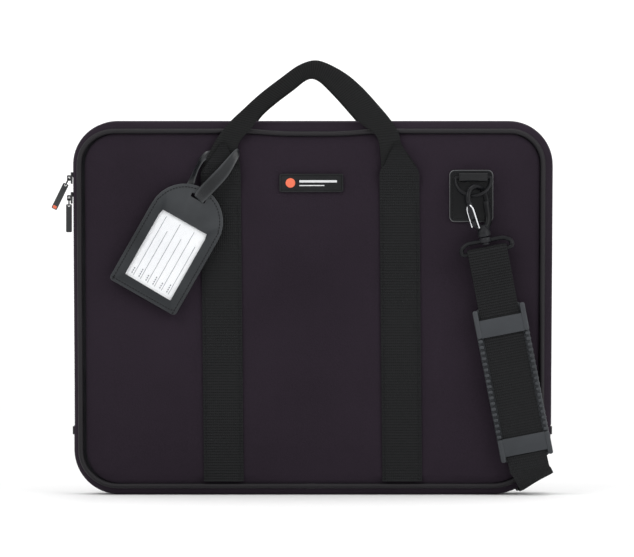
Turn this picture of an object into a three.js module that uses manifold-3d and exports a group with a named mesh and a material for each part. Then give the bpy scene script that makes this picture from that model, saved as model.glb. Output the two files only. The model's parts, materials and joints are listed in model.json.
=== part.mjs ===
// A slim padded carry bag for a music stand: a zipped fabric shell with two webbing handles, a luggage tag
// and a shoulder strap that is clipped to a D-ring on each side and runs round the lower right corner.
// Millimetres, +Z up, the front faces -Y, and the origin is the middle of the bag's underside.
import * as THREE from 'three';
import { mergeVertices } from 'three/addons/utils/BufferGeometryUtils.js';
import Module from 'manifold-3d';

const wasm = await Module();
wasm.setup();

// ---- driving dimensions ----
const HALF_WIDTH = 229;
const HEIGHT = 356;
const FACE = 25; // outer face of either panel, from the middle plane
const TOP_RADIUS = 40;
const BOTTOM_LEFT_RADIUS = 42;
const BOTTOM_RIGHT_RADIUS = 56; // drawn in by the strap that runs round it

const PANEL = 1.4;
const FOAM = 4;
const LINING = 0.8;
const GAP = 0.4;
const PIPING = 5;
const PIPING_INSET = 6;
const PANEL_INSET = PIPING_INSET + PIPING + GAP;

const ZIP_END = 66; // height of the zip's two lower ends
const ZIP_Y = -12.1; // middle of the zip
const COIL = 1.5; // width of each row of teeth
const COIL_GAP = 1.6;
const TAPE_REACH = 6;

const BAND = 38; // width of the carry webbing
const BAND_THICK = 2;
const BAND_FOOT = PANEL_INSET + 1.6;
const BAND_SPLAY = 1.5; // how far each band leans to the right on its way up, each side of its middle
const BAND_X = { left: -86, right: 84.5 };
const BAND_TOP = 304;
const ROOT_TOP = 350.5; // where the handle's fixed legs end
const HANDLE_Y = 29.3;
const HANDLE_THICK = 3.2;
const HANDLE_FOOT = 357;
const HANDLE_PEAK = 415.6;

const STRAP = 38;
const STRAP_THICK = 2;
const STRAP_Y = 39; // the strap's middle, from the bag's middle plane
const CLIP_FRONT = new THREE.Vector3(163.4, -STRAP_Y, 250); // top of the front hook's swivel
const STRAP_CORNER = new THREE.Vector3(213, 0, 12.6); // where the strap's middle crosses the corner
const FOLD_SLOPE = THREE.MathUtils.degToRad(31); // slope of the corner that the strap folds round
const FOLD_RADIUS = 16;
const FOLD_DRIFT = 2; // how far the strap moves along the fold on its way round, each side of the middle
const REAR_RUN = 410; // from the corner to the rear hook's swivel
const HOOK_TURN = THREE.MathUtils.degToRad(42);
const CLIP_REACH = 52; // from a hook's swivel to its D-ring's bar
const DRING_TILT = THREE.MathUtils.degToRad(26); // how far the hook lifts the ring off its patch

const TAG = { width: 72.6, height: 119.5, lean: THREE.MathUtils.degToRad(29.6), x: -133, z: 240.6, y: -38.6 };

const material = (color, roughness, metalness = 0) =>
  new THREE.MeshStandardMaterial({ color, roughness, metalness });
const cloth = material(0x2b2629, 0.95);
const lining = material(0x1d1d20, 0.9);
const foam = material(0x3a3a3c, 0.95);
const webbing = material(0x242523, 0.85);
const welt = material(0x19191a, 0.6);
const tape = material(0x1c1c1d, 0.9);
const teeth = material(0x161617, 0.45);
const moulded = material(0x222326, 0.5);
const rubber = material(0x4b5056, 0.6);
const gloss = material(0x121213, 0.3);
const leather = material(0x464b4e, 0.4);
const steel = material(0xb9bcc0, 0.25, 1);
const blackMetal = material(0x151516, 0.35, 0.6);
const clear = new THREE.MeshStandardMaterial({
  color: 0xf2f4f5,
  roughness: 0.1,
  transparent: true,
  opacity: 0.3,
});
const paper = material(0xeeedea, 0.9);

// ---- helpers ----
const bag = new THREE.Group();

function add(name, geometry, finish, parent = bag) {
  const mesh = new THREE.Mesh(geometry, finish);
  mesh.name = name;
  parent.add(mesh);
  return mesh;
}

// A shape drawn in X and Z, given its thickness along Y from y0 to y1.
function plate(shape, y0, y1, curveSegments = 4) {
  const [low, high] = [Math.min(y0, y1), Math.max(y0, y1)];
  const settings = { depth: high - low, bevelEnabled: false, curveSegments };
  const geometry = new THREE.ExtrudeGeometry(shape, settings);
  geometry.rotateX(Math.PI / 2);
  return geometry.translate(0, high, 0);
}

// A shape drawn in Y and Z, given its length along X from x0 to x1.
function bar(shape, x0, x1, curveSegments = 4) {
  const geometry = new THREE.ExtrudeGeometry(shape, { depth: x1 - x0, bevelEnabled: false, curveSegments });
  geometry.rotateX(Math.PI / 2);
  geometry.rotateZ(Math.PI / 2);
  return geometry.translate(x0, 0, 0);
}

// A polygon, turned to run anticlockwise, as a shape with holes must.
function polygon(points) {
  const corners = points.map(([x, y]) => new THREE.Vector2(x, y));
  return new THREE.Shape(THREE.ShapeUtils.isClockWise(corners) ? corners.reverse() : corners);
}

function roundedRectangle(x0, z0, x1, z1, radius) {
  const shape = new THREE.Shape();
  shape.moveTo(x0 + radius, z0);
  shape.lineTo(x1 - radius, z0);
  shape.absarc(x1 - radius, z0 + radius, radius, -Math.PI / 2, 0);
  shape.absarc(x1 - radius, z1 - radius, radius, 0, Math.PI / 2);
  shape.absarc(x0 + radius, z1 - radius, radius, Math.PI / 2, Math.PI);
  shape.absarc(x0 + radius, z0 + radius, radius, Math.PI, 1.5 * Math.PI);
  return shape;
}

function box(x0, y0, z0, x1, y1, z1) {
  const geometry = new THREE.BoxGeometry(x1 - x0, y1 - y0, z1 - z0);
  return geometry.translate((x0 + x1) / 2, (y0 + y1) / 2, (z0 + z1) / 2);
}

// A cylinder along Z.
function post(radius, z0, z1, sides = 12) {
  const geometry = new THREE.CylinderGeometry(radius, radius, z1 - z0, sides);
  geometry.rotateX(Math.PI / 2);
  return geometry.translate(0, 0, (z0 + z1) / 2);
}

function toSolid(geometry) {
  const bare = geometry.clone();
  bare.deleteAttribute('normal');
  bare.deleteAttribute('uv');
  const merged = mergeVertices(bare, 1e-4);
  const mesh = new wasm.Mesh({
    numProp: 3,
    vertProperties: new Float32Array(merged.attributes.position.array),
    triVerts: new Uint32Array(merged.index.array),
  });
  mesh.merge();
  return new wasm.Manifold(mesh);
}

function toGeometry(solid) {
  const mesh = solid.getMesh();
  const geometry = new THREE.BufferGeometry();
  geometry.setAttribute('position', new THREE.BufferAttribute(mesh.vertProperties, 3));
  geometry.setIndex(new THREE.BufferAttribute(mesh.triVerts, 1));
  geometry.computeVertexNormals();
  return geometry;
}

const union = (...geometries) =>
  toGeometry(geometries.map(toSolid).reduce((whole, next) => whole.add(next)));
const cut = (geometry, ...tools) =>
  toGeometry(tools.map(toSolid).reduce((rest, tool) => rest.subtract(tool), toSolid(geometry)));

// A flat strip of webbing along a list of stations, each with its middle and its direction across.
function ribbon(stations, width, thickness) {
  const positions = [];
  const index = [];
  stations.forEach(({ at, across }, i) => {
    const before = stations[Math.max(i - 1, 0)].at;
    const after = stations[Math.min(i + 1, stations.length - 1)].at;
    const side = across.clone().normalize().multiplyScalar(width / 2);
    const up = new THREE.Vector3().subVectors(after, before).cross(across).setLength(thickness / 2);
    for (const [s, u] of [[-1, -1], [1, -1], [1, 1], [-1, 1]]) {
      positions.push(...at.clone().addScaledVector(side, s).addScaledVector(up, u).toArray());
    }
  });
  const last = 4 * (stations.length - 1);
  for (let i = 0; i < last; i += 4) {
    for (let k = 0; k < 4; k += 1) {
      const [a, b] = [i + k, i + ((k + 1) % 4)];
      index.push(a, b, b + 4, a, b + 4, a + 4);
    }
  }
  index.push(0, 2, 1, 0, 3, 2, last, last + 1, last + 2, last, last + 2, last + 3);
  const geometry = new THREE.BufferGeometry();
  geometry.setAttribute('position', new THREE.Float32BufferAttribute(positions, 3));
  geometry.setIndex(index);
  geometry.computeVertexNormals();
  return geometry;
}

// ---- the bag's outline ----
const CORNERS = {
  top: { left: TOP_RADIUS, right: TOP_RADIUS },
  bottom: { left: BOTTOM_LEFT_RADIUS, right: BOTTOM_RIGHT_RADIUS },
};

function outline(inset) {
  const [x, low, high] = [HALF_WIDTH - inset, inset, HEIGHT - inset];
  const [left, right] = [CORNERS.bottom.left - inset, CORNERS.bottom.right - inset];
  const top = TOP_RADIUS - inset;
  const shape = new THREE.Shape();
  shape.moveTo(left - x, low);
  shape.lineTo(x - right, low);
  shape.absarc(x - right, low + right, right, -Math.PI / 2, 0);
  shape.lineTo(x, high - top);
  shape.absarc(x - top, high - top, top, 0, Math.PI / 2);
  shape.lineTo(top - x, high);
  shape.absarc(top - x, high - top, top, Math.PI / 2, Math.PI);
  shape.lineTo(-x, low + left);
  shape.absarc(left - x, low + left, left, Math.PI, 1.5 * Math.PI);
  return shape;
}

// The part of a wall between two insets that lies above the height z, or below it.
function wall(outer, inner, z, part) {
  const up = part === 'top' ? 1 : -1;
  const shape = new THREE.Shape();
  const side = (inset) => {
    const [x, far] = [HALF_WIDTH - inset, up > 0 ? HEIGHT - inset : inset];
    const [left, right] = [CORNERS[part].left - inset, CORNERS[part].right - inset];
    return { x, far, left, right };
  };
  const o = side(outer);
  shape.moveTo(-o.x, z);
  shape.lineTo(-o.x, o.far - up * o.left);
  shape.absarc(o.left - o.x, o.far - up * o.left, o.left, Math.PI, Math.PI - up * Math.PI / 2, up > 0);
  shape.lineTo(o.x - o.right, o.far);
  shape.absarc(o.x - o.right, o.far - up * o.right, o.right, up * Math.PI / 2, 0, up > 0);
  shape.lineTo(o.x, z);
  const i = side(inner);
  shape.lineTo(i.x, z);
  shape.lineTo(i.x, i.far - up * i.right);
  shape.absarc(i.x - i.right, i.far - up * i.right, i.right, 0, up * Math.PI / 2, up < 0);
  shape.lineTo(i.left - i.x, i.far);
  shape.absarc(i.left - i.x, i.far - up * i.left, i.left, up * Math.PI / 2, up * Math.PI, up < 0);
  shape.lineTo(-i.x, z);
  return shape;
}

// ---- panels, foam, lining and piping; side is -1 for the front and 1 for the back ----
function addFace(prefix, side) {
  let depth = FACE;
  for (const [name, thick, inset, finish] of [
    ['panel', PANEL, PANEL_INSET, cloth],
    ['foam', FOAM, PANEL_INSET + 1, foam],
    ['lining', LINING, PANEL_INSET + 1, lining],
  ]) {
    add(`${prefix}_${name}`, plate(outline(inset), side * depth, side * (depth - thick)), finish);
    depth -= thick + GAP;
  }
  const ring = outline(PIPING_INSET);
  ring.holes.push(outline(PIPING_INSET + PIPING));
  const chamfer = 1.4;
  const geometry = new THREE.ExtrudeGeometry(ring, {
    depth: PIPING - 2 * chamfer,
    bevelSize: chamfer,
    bevelOffset: -chamfer,
    bevelThickness: chamfer,
    bevelSegments: 1,
    curveSegments: 4,
  });
  const piping = add(`${prefix}_piping`, geometry, welt);
  piping.rotation.x = Math.PI / 2;
  piping.position.y = side * (FACE + 0.6 - PIPING / 2) + (PIPING - 2 * chamfer) / 2;
}

// ---- side walls and zip ----
const FRONT_COIL = ZIP_Y - COIL_GAP / 2 - COIL; // front edge of the front teeth
const BACK_COIL = ZIP_Y + COIL_GAP / 2 + COIL; // back edge of the back teeth
const WALL_BACK = 20.2;
const BOTTOM_FRONT = -19.4;
const SEAM = PIPING_INSET - GAP; // how far the walls' seam allowances turn in, to meet the piping
const SEAM_THICK = 1;
const TAPE = { outer: 0.8, inner: 1.8 };
const TEETH = { outer: -0.6, inner: 1.8 };

function addWalls() {
  const seam = (outer, z, part, y, side) => plate(wall(outer, SEAM, z, part), y, y - side * SEAM_THICK);
  const frontTape = plate(wall(TAPE.outer, TAPE.inner, ZIP_END, 'top'), -WALL_BACK, FRONT_COIL - GAP);
  add('zip_tape_front', union(frontTape, seam(TAPE.outer, ZIP_END, 'top', -WALL_BACK, -1)), tape);
  const coilWall = wall(TEETH.outer, TEETH.inner, ZIP_END, 'top');
  add('zip_coil_front', plate(coilWall, FRONT_COIL, FRONT_COIL + COIL), teeth);
  add('zip_coil_back', plate(coilWall, BACK_COIL - COIL, BACK_COIL), teeth);
  const tapeBack = BACK_COIL + GAP + TAPE_REACH;
  add('zip_tape_back', plate(wall(TAPE.outer, TAPE.inner, ZIP_END, 'top'), BACK_COIL + GAP, tapeBack), tape);
  const gusset = plate(wall(0, 2.2, ZIP_END, 'top'), tapeBack + GAP, WALL_BACK);
  add('gusset', union(gusset, seam(0, ZIP_END, 'top', WALL_BACK, 1)), cloth);
  const low = ZIP_END - 9;
  const bottom = plate(wall(0, 2.2, low, 'bottom'), BOTTOM_FRONT, WALL_BACK);
  const seams = [seam(0, low, 'bottom', BOTTOM_FRONT, -1), seam(0, low, 'bottom', WALL_BACK, 1)];
  add('bottom_gusset', union(bottom, ...seams), cloth);
  for (const [name, side] of [['zip_stop_left', -1], ['zip_stop_right', 1]]) {
    const stop = add(name, box(-1.6, ZIP_Y - 5, -4, 1.6, ZIP_Y + 5, 3.6), leather);
    stop.position.set(side * (HALF_WIDTH - 1.2), 0, ZIP_END - 4.4);
  }
}

const SLIDER = { x: -HALF_WIDTH, outer: 1.0, plate: 1.5, inner: 2.2, halfLength: 5.5, halfWidth: 4.1 };
const PULL_X = SLIDER.x - SLIDER.outer - SLIDER.plate - 1.8;

function addSlider(name, z, swing) {
  const { x, outer, plate: thick, inner, halfLength, halfWidth } = SLIDER;
  const eye = roundedRectangle(-1.9, -2.7, 1.9, 2.7, 1);
  eye.holes.push(new THREE.Path().absarc(0, 0, 1.2, 0, 2 * Math.PI));
  const bridge = plate(eye, -1.3, 1.3, 4).translate(PULL_X, ZIP_Y, 0);
  const body = union(
    box(x - outer - thick, ZIP_Y - halfWidth, -halfLength, x - outer, ZIP_Y + halfWidth, halfLength),
    box(x + inner, ZIP_Y - halfWidth, -halfLength, x + inner + 1.1, ZIP_Y + halfWidth, halfLength),
    box(x - outer - 0.1, ZIP_Y - 0.45, 1, x + inner + 0.1, ZIP_Y + 0.45, halfLength),
    bridge,
  );
  add(`zip_slider_${name}`, body, moulded).position.z = z;
  const pull = new THREE.Group();
  pull.position.set(PULL_X, ZIP_Y, z);
  pull.rotation.y = swing;
  bag.add(pull);
  const [wire, reach, halfGap] = [1.1, 8, 1.9];
  const frame = roundedRectangle(-halfGap - wire, -reach, halfGap + wire, wire / 2, 0.5);
  frame.holes.push(roundedRectangle(-halfGap, wire - reach, halfGap, -wire / 2, 0.3));
  add(`zip_link_${name}`, bar(frame, -wire / 2, wire / 2, 1), blackMetal, pull);
  const grip = roundedRectangle(-2.75, -reach - 25, 2.75, 1.9 - reach, 1.2);
  grip.holes.push(new THREE.Path().absarc(0, wire / 2 - reach, 1.2, 0, 2 * Math.PI));
  add(`zip_grip_${name}`, plate(grip, -1.5, 1.5, 4), moulded, pull);
}

// ---- webbing bands, handle roots and handles ----
const ROOT_SHAPES = {
  left: [[-106.8, 305], [-68.8, 305], [-68.9, 316], [-72, 334], [-55, ROOT_TOP], [-81, ROOT_TOP], [-91, 338],
    [-106.8, 313]],
  right: [
    [65.7, 305], [101, 305], [101, 311], [86, 334], [78, ROOT_TOP], [48.5, ROOT_TOP], [62, 338], [65.7, 318],
  ],
};

function addCarryWebbing(prefix, side) {
  for (const hand of ['left', 'right']) {
    const [x, half] = [BAND_X[hand], BAND / 2];
    const [foot, head] = [x + BAND_SPLAY, x - BAND_SPLAY];
    const shape = polygon([[foot - half, BAND_FOOT], [foot + half, BAND_FOOT], [head + half, BAND_TOP],
      [head - half, BAND_TOP]]);
    const near = FACE + GAP;
    add(`${prefix}_band_${hand}`, plate(shape, side * near, side * (near + BAND_THICK)), webbing);
    const low = near + BAND_THICK + GAP + 0.2;
    const root = plate(polygon(ROOT_SHAPES[hand]), side * low, side * (low + 2.6));
    add(`handle_root_${prefix}_${hand}`, root, webbing);
  }
  const arch = new THREE.Shape();
  arch.moveTo(-79, HANDLE_FOOT);
  arch.lineTo(-18, 405.5);
  arch.quadraticCurveTo(3, 2 * HANDLE_PEAK - 407, 22, 408);
  arch.lineTo(76.5, HANDLE_FOOT);
  arch.lineTo(43.7, HANDLE_FOOT);
  arch.lineTo(12, 393.5);
  arch.quadraticCurveTo(-1, 405, -14, 392.5);
  arch.lineTo(-52, HANDLE_FOOT);
  const [near, far] = [HANDLE_Y - HANDLE_THICK / 2, HANDLE_Y + HANDLE_THICK / 2];
  add(`${prefix}_handle`, plate(arch, side * near, side * far, 4), webbing);
}

function addLabel() {
  const [x, z, halfWidth, halfHeight] = [-1, 298, 30.5, 8.7];
  const shape = roundedRectangle(x - halfWidth, z - halfHeight, x + halfWidth, z + halfHeight, 1.5);
  add('label_plate', plate(shape, -FACE - GAP - 2, -FACE - GAP, 2), moulded);
}

// ---- shoulder strap: its directions come from wrapping a flat strip round the sloping corner ----
const foldAxis = new THREE.Vector3(Math.cos(FOLD_SLOPE), 0, Math.sin(FOLD_SLOPE));
const foldOut = new THREE.Vector3(Math.sin(FOLD_SLOPE), 0, -Math.cos(FOLD_SLOPE));
const Y = new THREE.Vector3(0, 1, 0);
const frontTurn = STRAP_CORNER.clone()
  .addScaledVector(foldAxis, FOLD_DRIFT)
  .addScaledVector(foldOut, -FOLD_RADIUS);
const downFront = frontTurn.sub(CLIP_FRONT).setY(0).normalize();
const alongFold = downFront.dot(foldAxis);
const aroundFold = downFront.dot(foldOut);
const downRear = foldAxis.clone().multiplyScalar(-alongFold).addScaledVector(foldOut, aroundFold);
const acrossFront = new THREE.Vector3().crossVectors(downFront, Y).negate();

// A frame with Z up the strap towards its hook and -Y out of the bag.
function clipFrame(at, up, side) {
  const y = Y.clone().multiplyScalar(-side);
  const x = new THREE.Vector3().crossVectors(y, up);
  const frame = new THREE.Group();
  frame.quaternion.setFromRotationMatrix(new THREE.Matrix4().makeBasis(x, y, up));
  frame.position.copy(at);
  bag.add(frame);
  return frame;
}

// The strap's stations round the corner, from the front's straight run (angle 0) to the rear's (angle 180).
function cornerStations(from, to) {
  const reach = STRAP_Y - FOLD_RADIUS;
  const arc = FOLD_RADIUS * Math.PI / 2;
  const total = 2 * arc + 2 * reach;
  const stations = [];
  const steps = 18;
  for (let i = 0; i <= steps; i += 1) {
    const run = total * i / steps;
    let y;
    let out;
    let angle;
    if (run < arc) {
      angle = run / FOLD_RADIUS;
      y = -reach - FOLD_RADIUS * Math.cos(angle);
      out = FOLD_RADIUS * (Math.sin(angle) - 1);
    } else if (run > total - arc) {
      angle = Math.PI - (total - run) / FOLD_RADIUS;
      y = reach - FOLD_RADIUS * Math.cos(angle);
      out = FOLD_RADIUS * (Math.sin(angle) - 1);
    } else {
      angle = Math.PI / 2;
      y = run - total / 2;
      out = 0;
    }
    const turned = foldOut.clone().multiplyScalar(Math.cos(angle)).addScaledVector(Y, Math.sin(angle));
    const at = STRAP_CORNER.clone().addScaledVector(foldOut, out).addScaledVector(Y, y)
      .addScaledVector(foldAxis, FOLD_DRIFT * (1 - 2 * run / total));
    const across = foldAxis.clone().multiplyScalar(aroundFold).addScaledVector(turned, -alongFold);
    if (at.y > from && at.y < to) {
      stations.push({ at, across });
    }
  }
  return stations;
}

// The sleeve round a clip's lower bar, as stations in the clip's frame: the tail, the turn and the main run.
const CLIP_BAR = -17.6;
const SLEEVE = 3.9;
function sleeveStations(frame, across) {
  const points = [[SLEEVE, -40], [SLEEVE, CLIP_BAR]];
  for (let i = 1; i < 6; i += 1) {
    const angle = Math.PI * i / 6;
    points.push([SLEEVE * Math.cos(angle), CLIP_BAR + SLEEVE * Math.sin(angle)]);
  }
  points.push([-SLEEVE, CLIP_BAR], [-SLEEVE, -34], [-SLEEVE / 2, -43], [0, -52]);
  frame.updateMatrixWorld();
  return points.map(([y, z]) => ({ at: frame.localToWorld(new THREE.Vector3(0, y, z)), across }));
}

function addStrap() {
  const front = clipFrame(CLIP_FRONT, downFront.clone().negate(), -1);
  const frontRun = [...sleeveStations(front, acrossFront), ...cornerStations(-STRAP_Y - 1, -FACE)];
  add('shoulder_strap_front', ribbon(frontRun, STRAP, STRAP_THICK), webbing);

  const corner = cornerStations(-FACE + 2, STRAP_Y + 1);
  const lastCorner = corner[corner.length - 1];
  const clipRear = lastCorner.at.clone().addScaledVector(downRear, -REAR_RUN);
  const rear = clipFrame(clipRear, downRear.clone().negate(), 1);
  const sleeve = sleeveStations(rear, lastCorner.across).reverse();
  add('shoulder_strap_rear', ribbon([...corner, ...sleeve], STRAP, STRAP_THICK), webbing);
  const doubled = [-41, -184].map((z) => ({
    at: rear.localToWorld(new THREE.Vector3(0, SLEEVE, z)),
    across: lastCorner.across,
  }));
  add('strap_return', ribbon(doubled, STRAP, STRAP_THICK), webbing);
  return { front, rear };
}

// A three-bar slide: the strap runs over its two end bars and under its middle bar.
function addAdjuster(frame) {
  const [top, length, rail, half, thick] = [-186, 28, 5, 25, 3];
  const low = top - length;
  const parts = [-1, 1].map((s) => {
    const [x0, x1] = [s * (half - rail), s * half].sort((a, b) => a - b);
    return box(x0, -1.5 - thick, low, x1, 1.5 + thick, top);
  });
  const barBox = (y0, z) => box(-half + 1, y0, z, half - 1, y0 + thick, z + 4);
  const middleBar = barBox(-1.5 - thick, low + length / 2 - 2);
  const slide = union(...parts, barBox(1.5, low), barBox(1.5, top - 4), middleBar);
  add('strap_adjuster', slide, moulded, frame);
}

function addPad(frame) {
  const [z, halfLength, halfWidth] = [-145, 75, 25];
  const [bodyTop, bodyBase] = [STRAP_THICK / 2 + GAP, STRAP_Y - FACE - 1];
  const outer = roundedRectangle(-halfWidth, z - halfLength, halfWidth, z + halfLength, 9);
  const parts = [plate(outer, bodyTop, bodyBase, 3)];
  for (const centre of [z + 55, z - 60]) {
    const [low, high] = [centre - 8.5, centre + 8.5];
    parts.push(box(-halfWidth, -3.4, low, halfWidth, -1.4, high));
    for (const s of [-1, 1]) {
      const [x0, x1] = [s * (halfWidth - 5.2), s * halfWidth].sort((a, b) => a - b);
      parts.push(box(x0, -2.4, low, x1, bodyTop + 0.5, high));
    }
  }
  add('shoulder_pad', union(...parts), rubber, frame);
}

// ---- D-rings and snap hooks ----
function addAnchor(prefix, frame, tilt) {
  const patch = roundedRectangle(-22.8, -42.3, 19.2, 7.4, 5);
  add(`dring_patch_${prefix}`, plate(patch, 4.1, 5.9, 2), gloss, frame);
  const profile = roundedRectangle(-4.1, -4, 3.8, 4.4, 2);
  profile.holes.push(new THREE.Path().absarc(0, 0, 2.9, 0, 2 * Math.PI));
  add(`dring_tab_${prefix}`, bar(profile, -13.5, 13.5, 4), gloss, frame);

  const [half, wire, depth] = [18.5, 3.4, 18];
  const dShape = (inset) => {
    const shape = new THREE.Shape();
    const [w, h, top, r] = [half - inset, depth - inset, wire / 2 - inset, Math.max(4 - inset, 0.8)];
    shape.moveTo(-w, -3);
    shape.absellipse(0, -3, w, h, Math.PI, 2 * Math.PI, false, 0);
    shape.lineTo(w, top - r);
    shape.absarc(w - r, top - r, r, 0, Math.PI / 2);
    shape.absarc(r - w, top - r, r, Math.PI / 2, Math.PI);
    return shape;
  };
  const ring = dShape(0);
  ring.holes.push(dShape(wire));
  const mesh = add(`dring_${prefix}`, plate(ring, -wire / 2, wire / 2, 5), blackMetal, frame);
  mesh.rotation.x = -tilt;
}

const HOOK = { outer: 14, inner: 9.7, centre: 33, tip: 31, thick: 2.2 };
const GATE_PIVOT = { x: -11.4, z: 15.2 };

function addHook(prefix, frame) {
  const turned = new THREE.Group();
  turned.rotation.z = HOOK_TURN;
  frame.add(turned);
  const { outer, inner, centre, tip, thick } = HOOK;
  const shape = new THREE.Shape();
  shape.moveTo(-inner, tip);
  shape.absarc(0, centre, inner, Math.PI, 0, true);
  shape.lineTo(inner, 19);
  shape.quadraticCurveTo(inner, 11, 0, 10.5);
  shape.lineTo(-6.5, 10.5);
  shape.lineTo(-6.5, 13.8);
  shape.lineTo(-13.4, 13.8);
  shape.lineTo(-13.4, 9);
  shape.lineTo(-5.5, 3.2);
  shape.lineTo(5.5, 3.2);
  shape.quadraticCurveTo(outer, 7, outer, 17);
  shape.absarc(0, centre, outer, 0, Math.PI, false);
  shape.lineTo(-outer, tip);
  const pin = union(post(2.3, -10.6, -3.9), post(3.8, -11.4, -9.5));
  const body = union(plate(shape, -thick, thick, 5), post(6, -4, 4), pin);
  add(`hook_${prefix}`, body, blackMetal, turned);
  const gate = roundedRectangle(GATE_PIVOT.x - 1.8, GATE_PIVOT.z - 0.4, GATE_PIVOT.x + 1.8, tip - 0.6, 0.8);
  add(`gate_${prefix}`, plate(gate, -1.7, 1.7, 1), steel, turned);

  const wire = 3.6;
  const [top, low, half] = [-5.4, CLIP_BAR - wire / 2, 26.5];
  const ring = polygon([
    [-half + 7, top], [half - 7, top], [half, top - 6], [half, low], [-half, low], [-half, top - 6],
  ]);
  ring.holes.push(polygon([[-half + 9, top - wire], [half - 9, top - wire], [half - wire, top - 7.6],
    [half - wire, low + wire], [wire - half, low + wire], [wire - half, top - 7.6]]));
  const loop = cut(union(plate(ring, -wire / 2, wire / 2), post(5.5, -9.2, -4.4)), post(2.8, -15, 0));
  add(`clip_loop_${prefix}`, loop, blackMetal, frame);
}

// ---- luggage tag ----
function addTag() {
  const tag = new THREE.Group();
  tag.position.set(TAG.x, TAG.y, TAG.z);
  tag.rotation.y = TAG.lean;
  bag.add(tag);
  const [half, low, round] = [TAG.width / 2, -TAG.height / 2, TAG.height / 2 - TAG.width / 2];
  const leatherShape = () => {
    const shape = new THREE.Shape();
    shape.moveTo(-half, low + 4);
    shape.absarc(4 - half, low + 4, 4, Math.PI, 1.5 * Math.PI);
    shape.absarc(half - 4, low + 4, 4, -Math.PI / 2, 0);
    shape.absarc(0, round, half, 0, Math.PI);
    shape.holes.push(roundedRectangle(-8, 47.4, 8, 51, 1.6));
    return shape;
  };
  const [windowX, windowZ] = [25, 36];
  const centre = -13;
  const front = leatherShape();
  front.holes.push(roundedRectangle(-windowX, centre - windowZ, windowX, centre + windowZ, 1.5));
  const card = (grow) => roundedRectangle(-windowX - grow, centre - windowZ - grow, windowX + grow,
    centre + windowZ + grow, 1);
  add('tag_front', plate(front, 0, 1.4, 6), leather, tag);
  add('tag_window', plate(card(4), 1.8, 2.2, 1), clear, tag);
  add('tag_card', plate(card(3), 2.6, 3.1, 1), paper, tag);
  add('tag_back', plate(leatherShape(), 3.5, 5.1, 6), leather, tag);
}

// The tag's strap: out through the slot, up to the left handle root, round its inner edge and behind it.
function addTagStrap() {
  const route = [
    [[-108.8, -40.2, 281.5], [0.72, 0, -0.7]],
    [[-104, -40.4, 287], [0.72, 0, -0.7]],
    [[-84, -37.6, 309], [0.75, 0, -0.66]],
    [[-70.5, -33.4, 322], [0.5, 0, -0.86]],
    [[-66.6, -30, 325], [0.1, 0, -1]],
    [[-67.6, -27.4, 326], [0, 0, -1]],
    [[-72, -26.6, 326], [0, 0, -1]],
    [[-102, -26.6, 326], [0, 0, -1]],
  ];
  const stations = route.map(([at, across]) => ({
    at: new THREE.Vector3(...at),
    across: new THREE.Vector3(...across),
  }));
  add('tag_strap', ribbon(stations, 11, 0.9), leather);
}

// A slip pocket on the back lining, open at its top.
function addPocket() {
  const [half, low, high, rim] = [150, 40, 210, 4];
  const [near, far] = [14.2, FACE - PANEL - FOAM - LINING - 3 * GAP];
  const sheet = plate(roundedRectangle(-half, low, half, high, 6), near, near + 1, 2);
  const seam = polygon([
    [-half + 6, low], [half - 6, low], [half, low + 6], [half, high - 6], [half - rim, high - 6],
    [half - rim, low + 8], [half - 8, low + rim], [8 - half, low + rim], [rim - half, low + 8],
    [rim - half, high - 6], [-half, high - 6], [-half, low + 6],
  ]);
  add('inner_pocket', union(sheet, plate(seam, near + 0.5, far)), lining);
}

// ---- assembly ----
addFace('front', -1);
addFace('back', 1);
addWalls();
addSlider('upper', 303, THREE.MathUtils.degToRad(26));
addSlider('lower', 284, 0);
addCarryWebbing('front', -1);
addCarryWebbing('back', 1);
addLabel();
addTag();
addTagStrap();
addPocket();
const clips = addStrap();
addHook('front', clips.front);
addHook('rear', clips.rear);
addPad(clips.front);
addAdjuster(clips.rear);
const up = new THREE.Vector3(0, 0, 1);
addAnchor('front', clipFrame(new THREE.Vector3(153.6, -FACE - 6.4, 303), up, -1), DRING_TILT);
const rearAnchor = clips.rear.position.clone().addScaledVector(downRear, -CLIP_REACH).setY(FACE + 6.4);
addAnchor('rear', clipFrame(rearAnchor, downRear.clone().negate(), 1), DRING_TILT);

export default bag;
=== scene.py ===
import json
import math

import bmesh
import bpy
from mathutils import Matrix, Vector, noise


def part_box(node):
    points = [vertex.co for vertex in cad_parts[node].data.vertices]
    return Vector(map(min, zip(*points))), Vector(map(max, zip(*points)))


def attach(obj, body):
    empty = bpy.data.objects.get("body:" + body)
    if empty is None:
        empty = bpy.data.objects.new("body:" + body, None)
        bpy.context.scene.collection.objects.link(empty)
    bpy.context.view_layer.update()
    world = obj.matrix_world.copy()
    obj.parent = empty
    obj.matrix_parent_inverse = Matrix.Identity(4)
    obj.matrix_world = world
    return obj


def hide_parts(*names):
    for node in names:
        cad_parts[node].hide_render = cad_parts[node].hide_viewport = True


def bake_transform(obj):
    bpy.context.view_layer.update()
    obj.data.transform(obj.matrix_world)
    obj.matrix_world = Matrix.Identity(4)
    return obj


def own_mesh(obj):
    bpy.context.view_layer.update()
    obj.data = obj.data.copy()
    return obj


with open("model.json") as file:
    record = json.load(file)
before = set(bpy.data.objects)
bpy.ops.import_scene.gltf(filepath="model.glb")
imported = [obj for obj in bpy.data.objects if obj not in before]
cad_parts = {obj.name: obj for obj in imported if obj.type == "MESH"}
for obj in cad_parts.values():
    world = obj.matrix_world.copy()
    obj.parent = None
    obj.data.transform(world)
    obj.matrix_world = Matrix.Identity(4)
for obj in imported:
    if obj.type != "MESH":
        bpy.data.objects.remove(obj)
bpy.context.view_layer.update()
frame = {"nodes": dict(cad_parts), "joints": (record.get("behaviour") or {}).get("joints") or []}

MM = 0.001
FRONT, BACK = -1, 1
SHELL = {FRONT: "front_shell", BACK: "root"}
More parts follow.
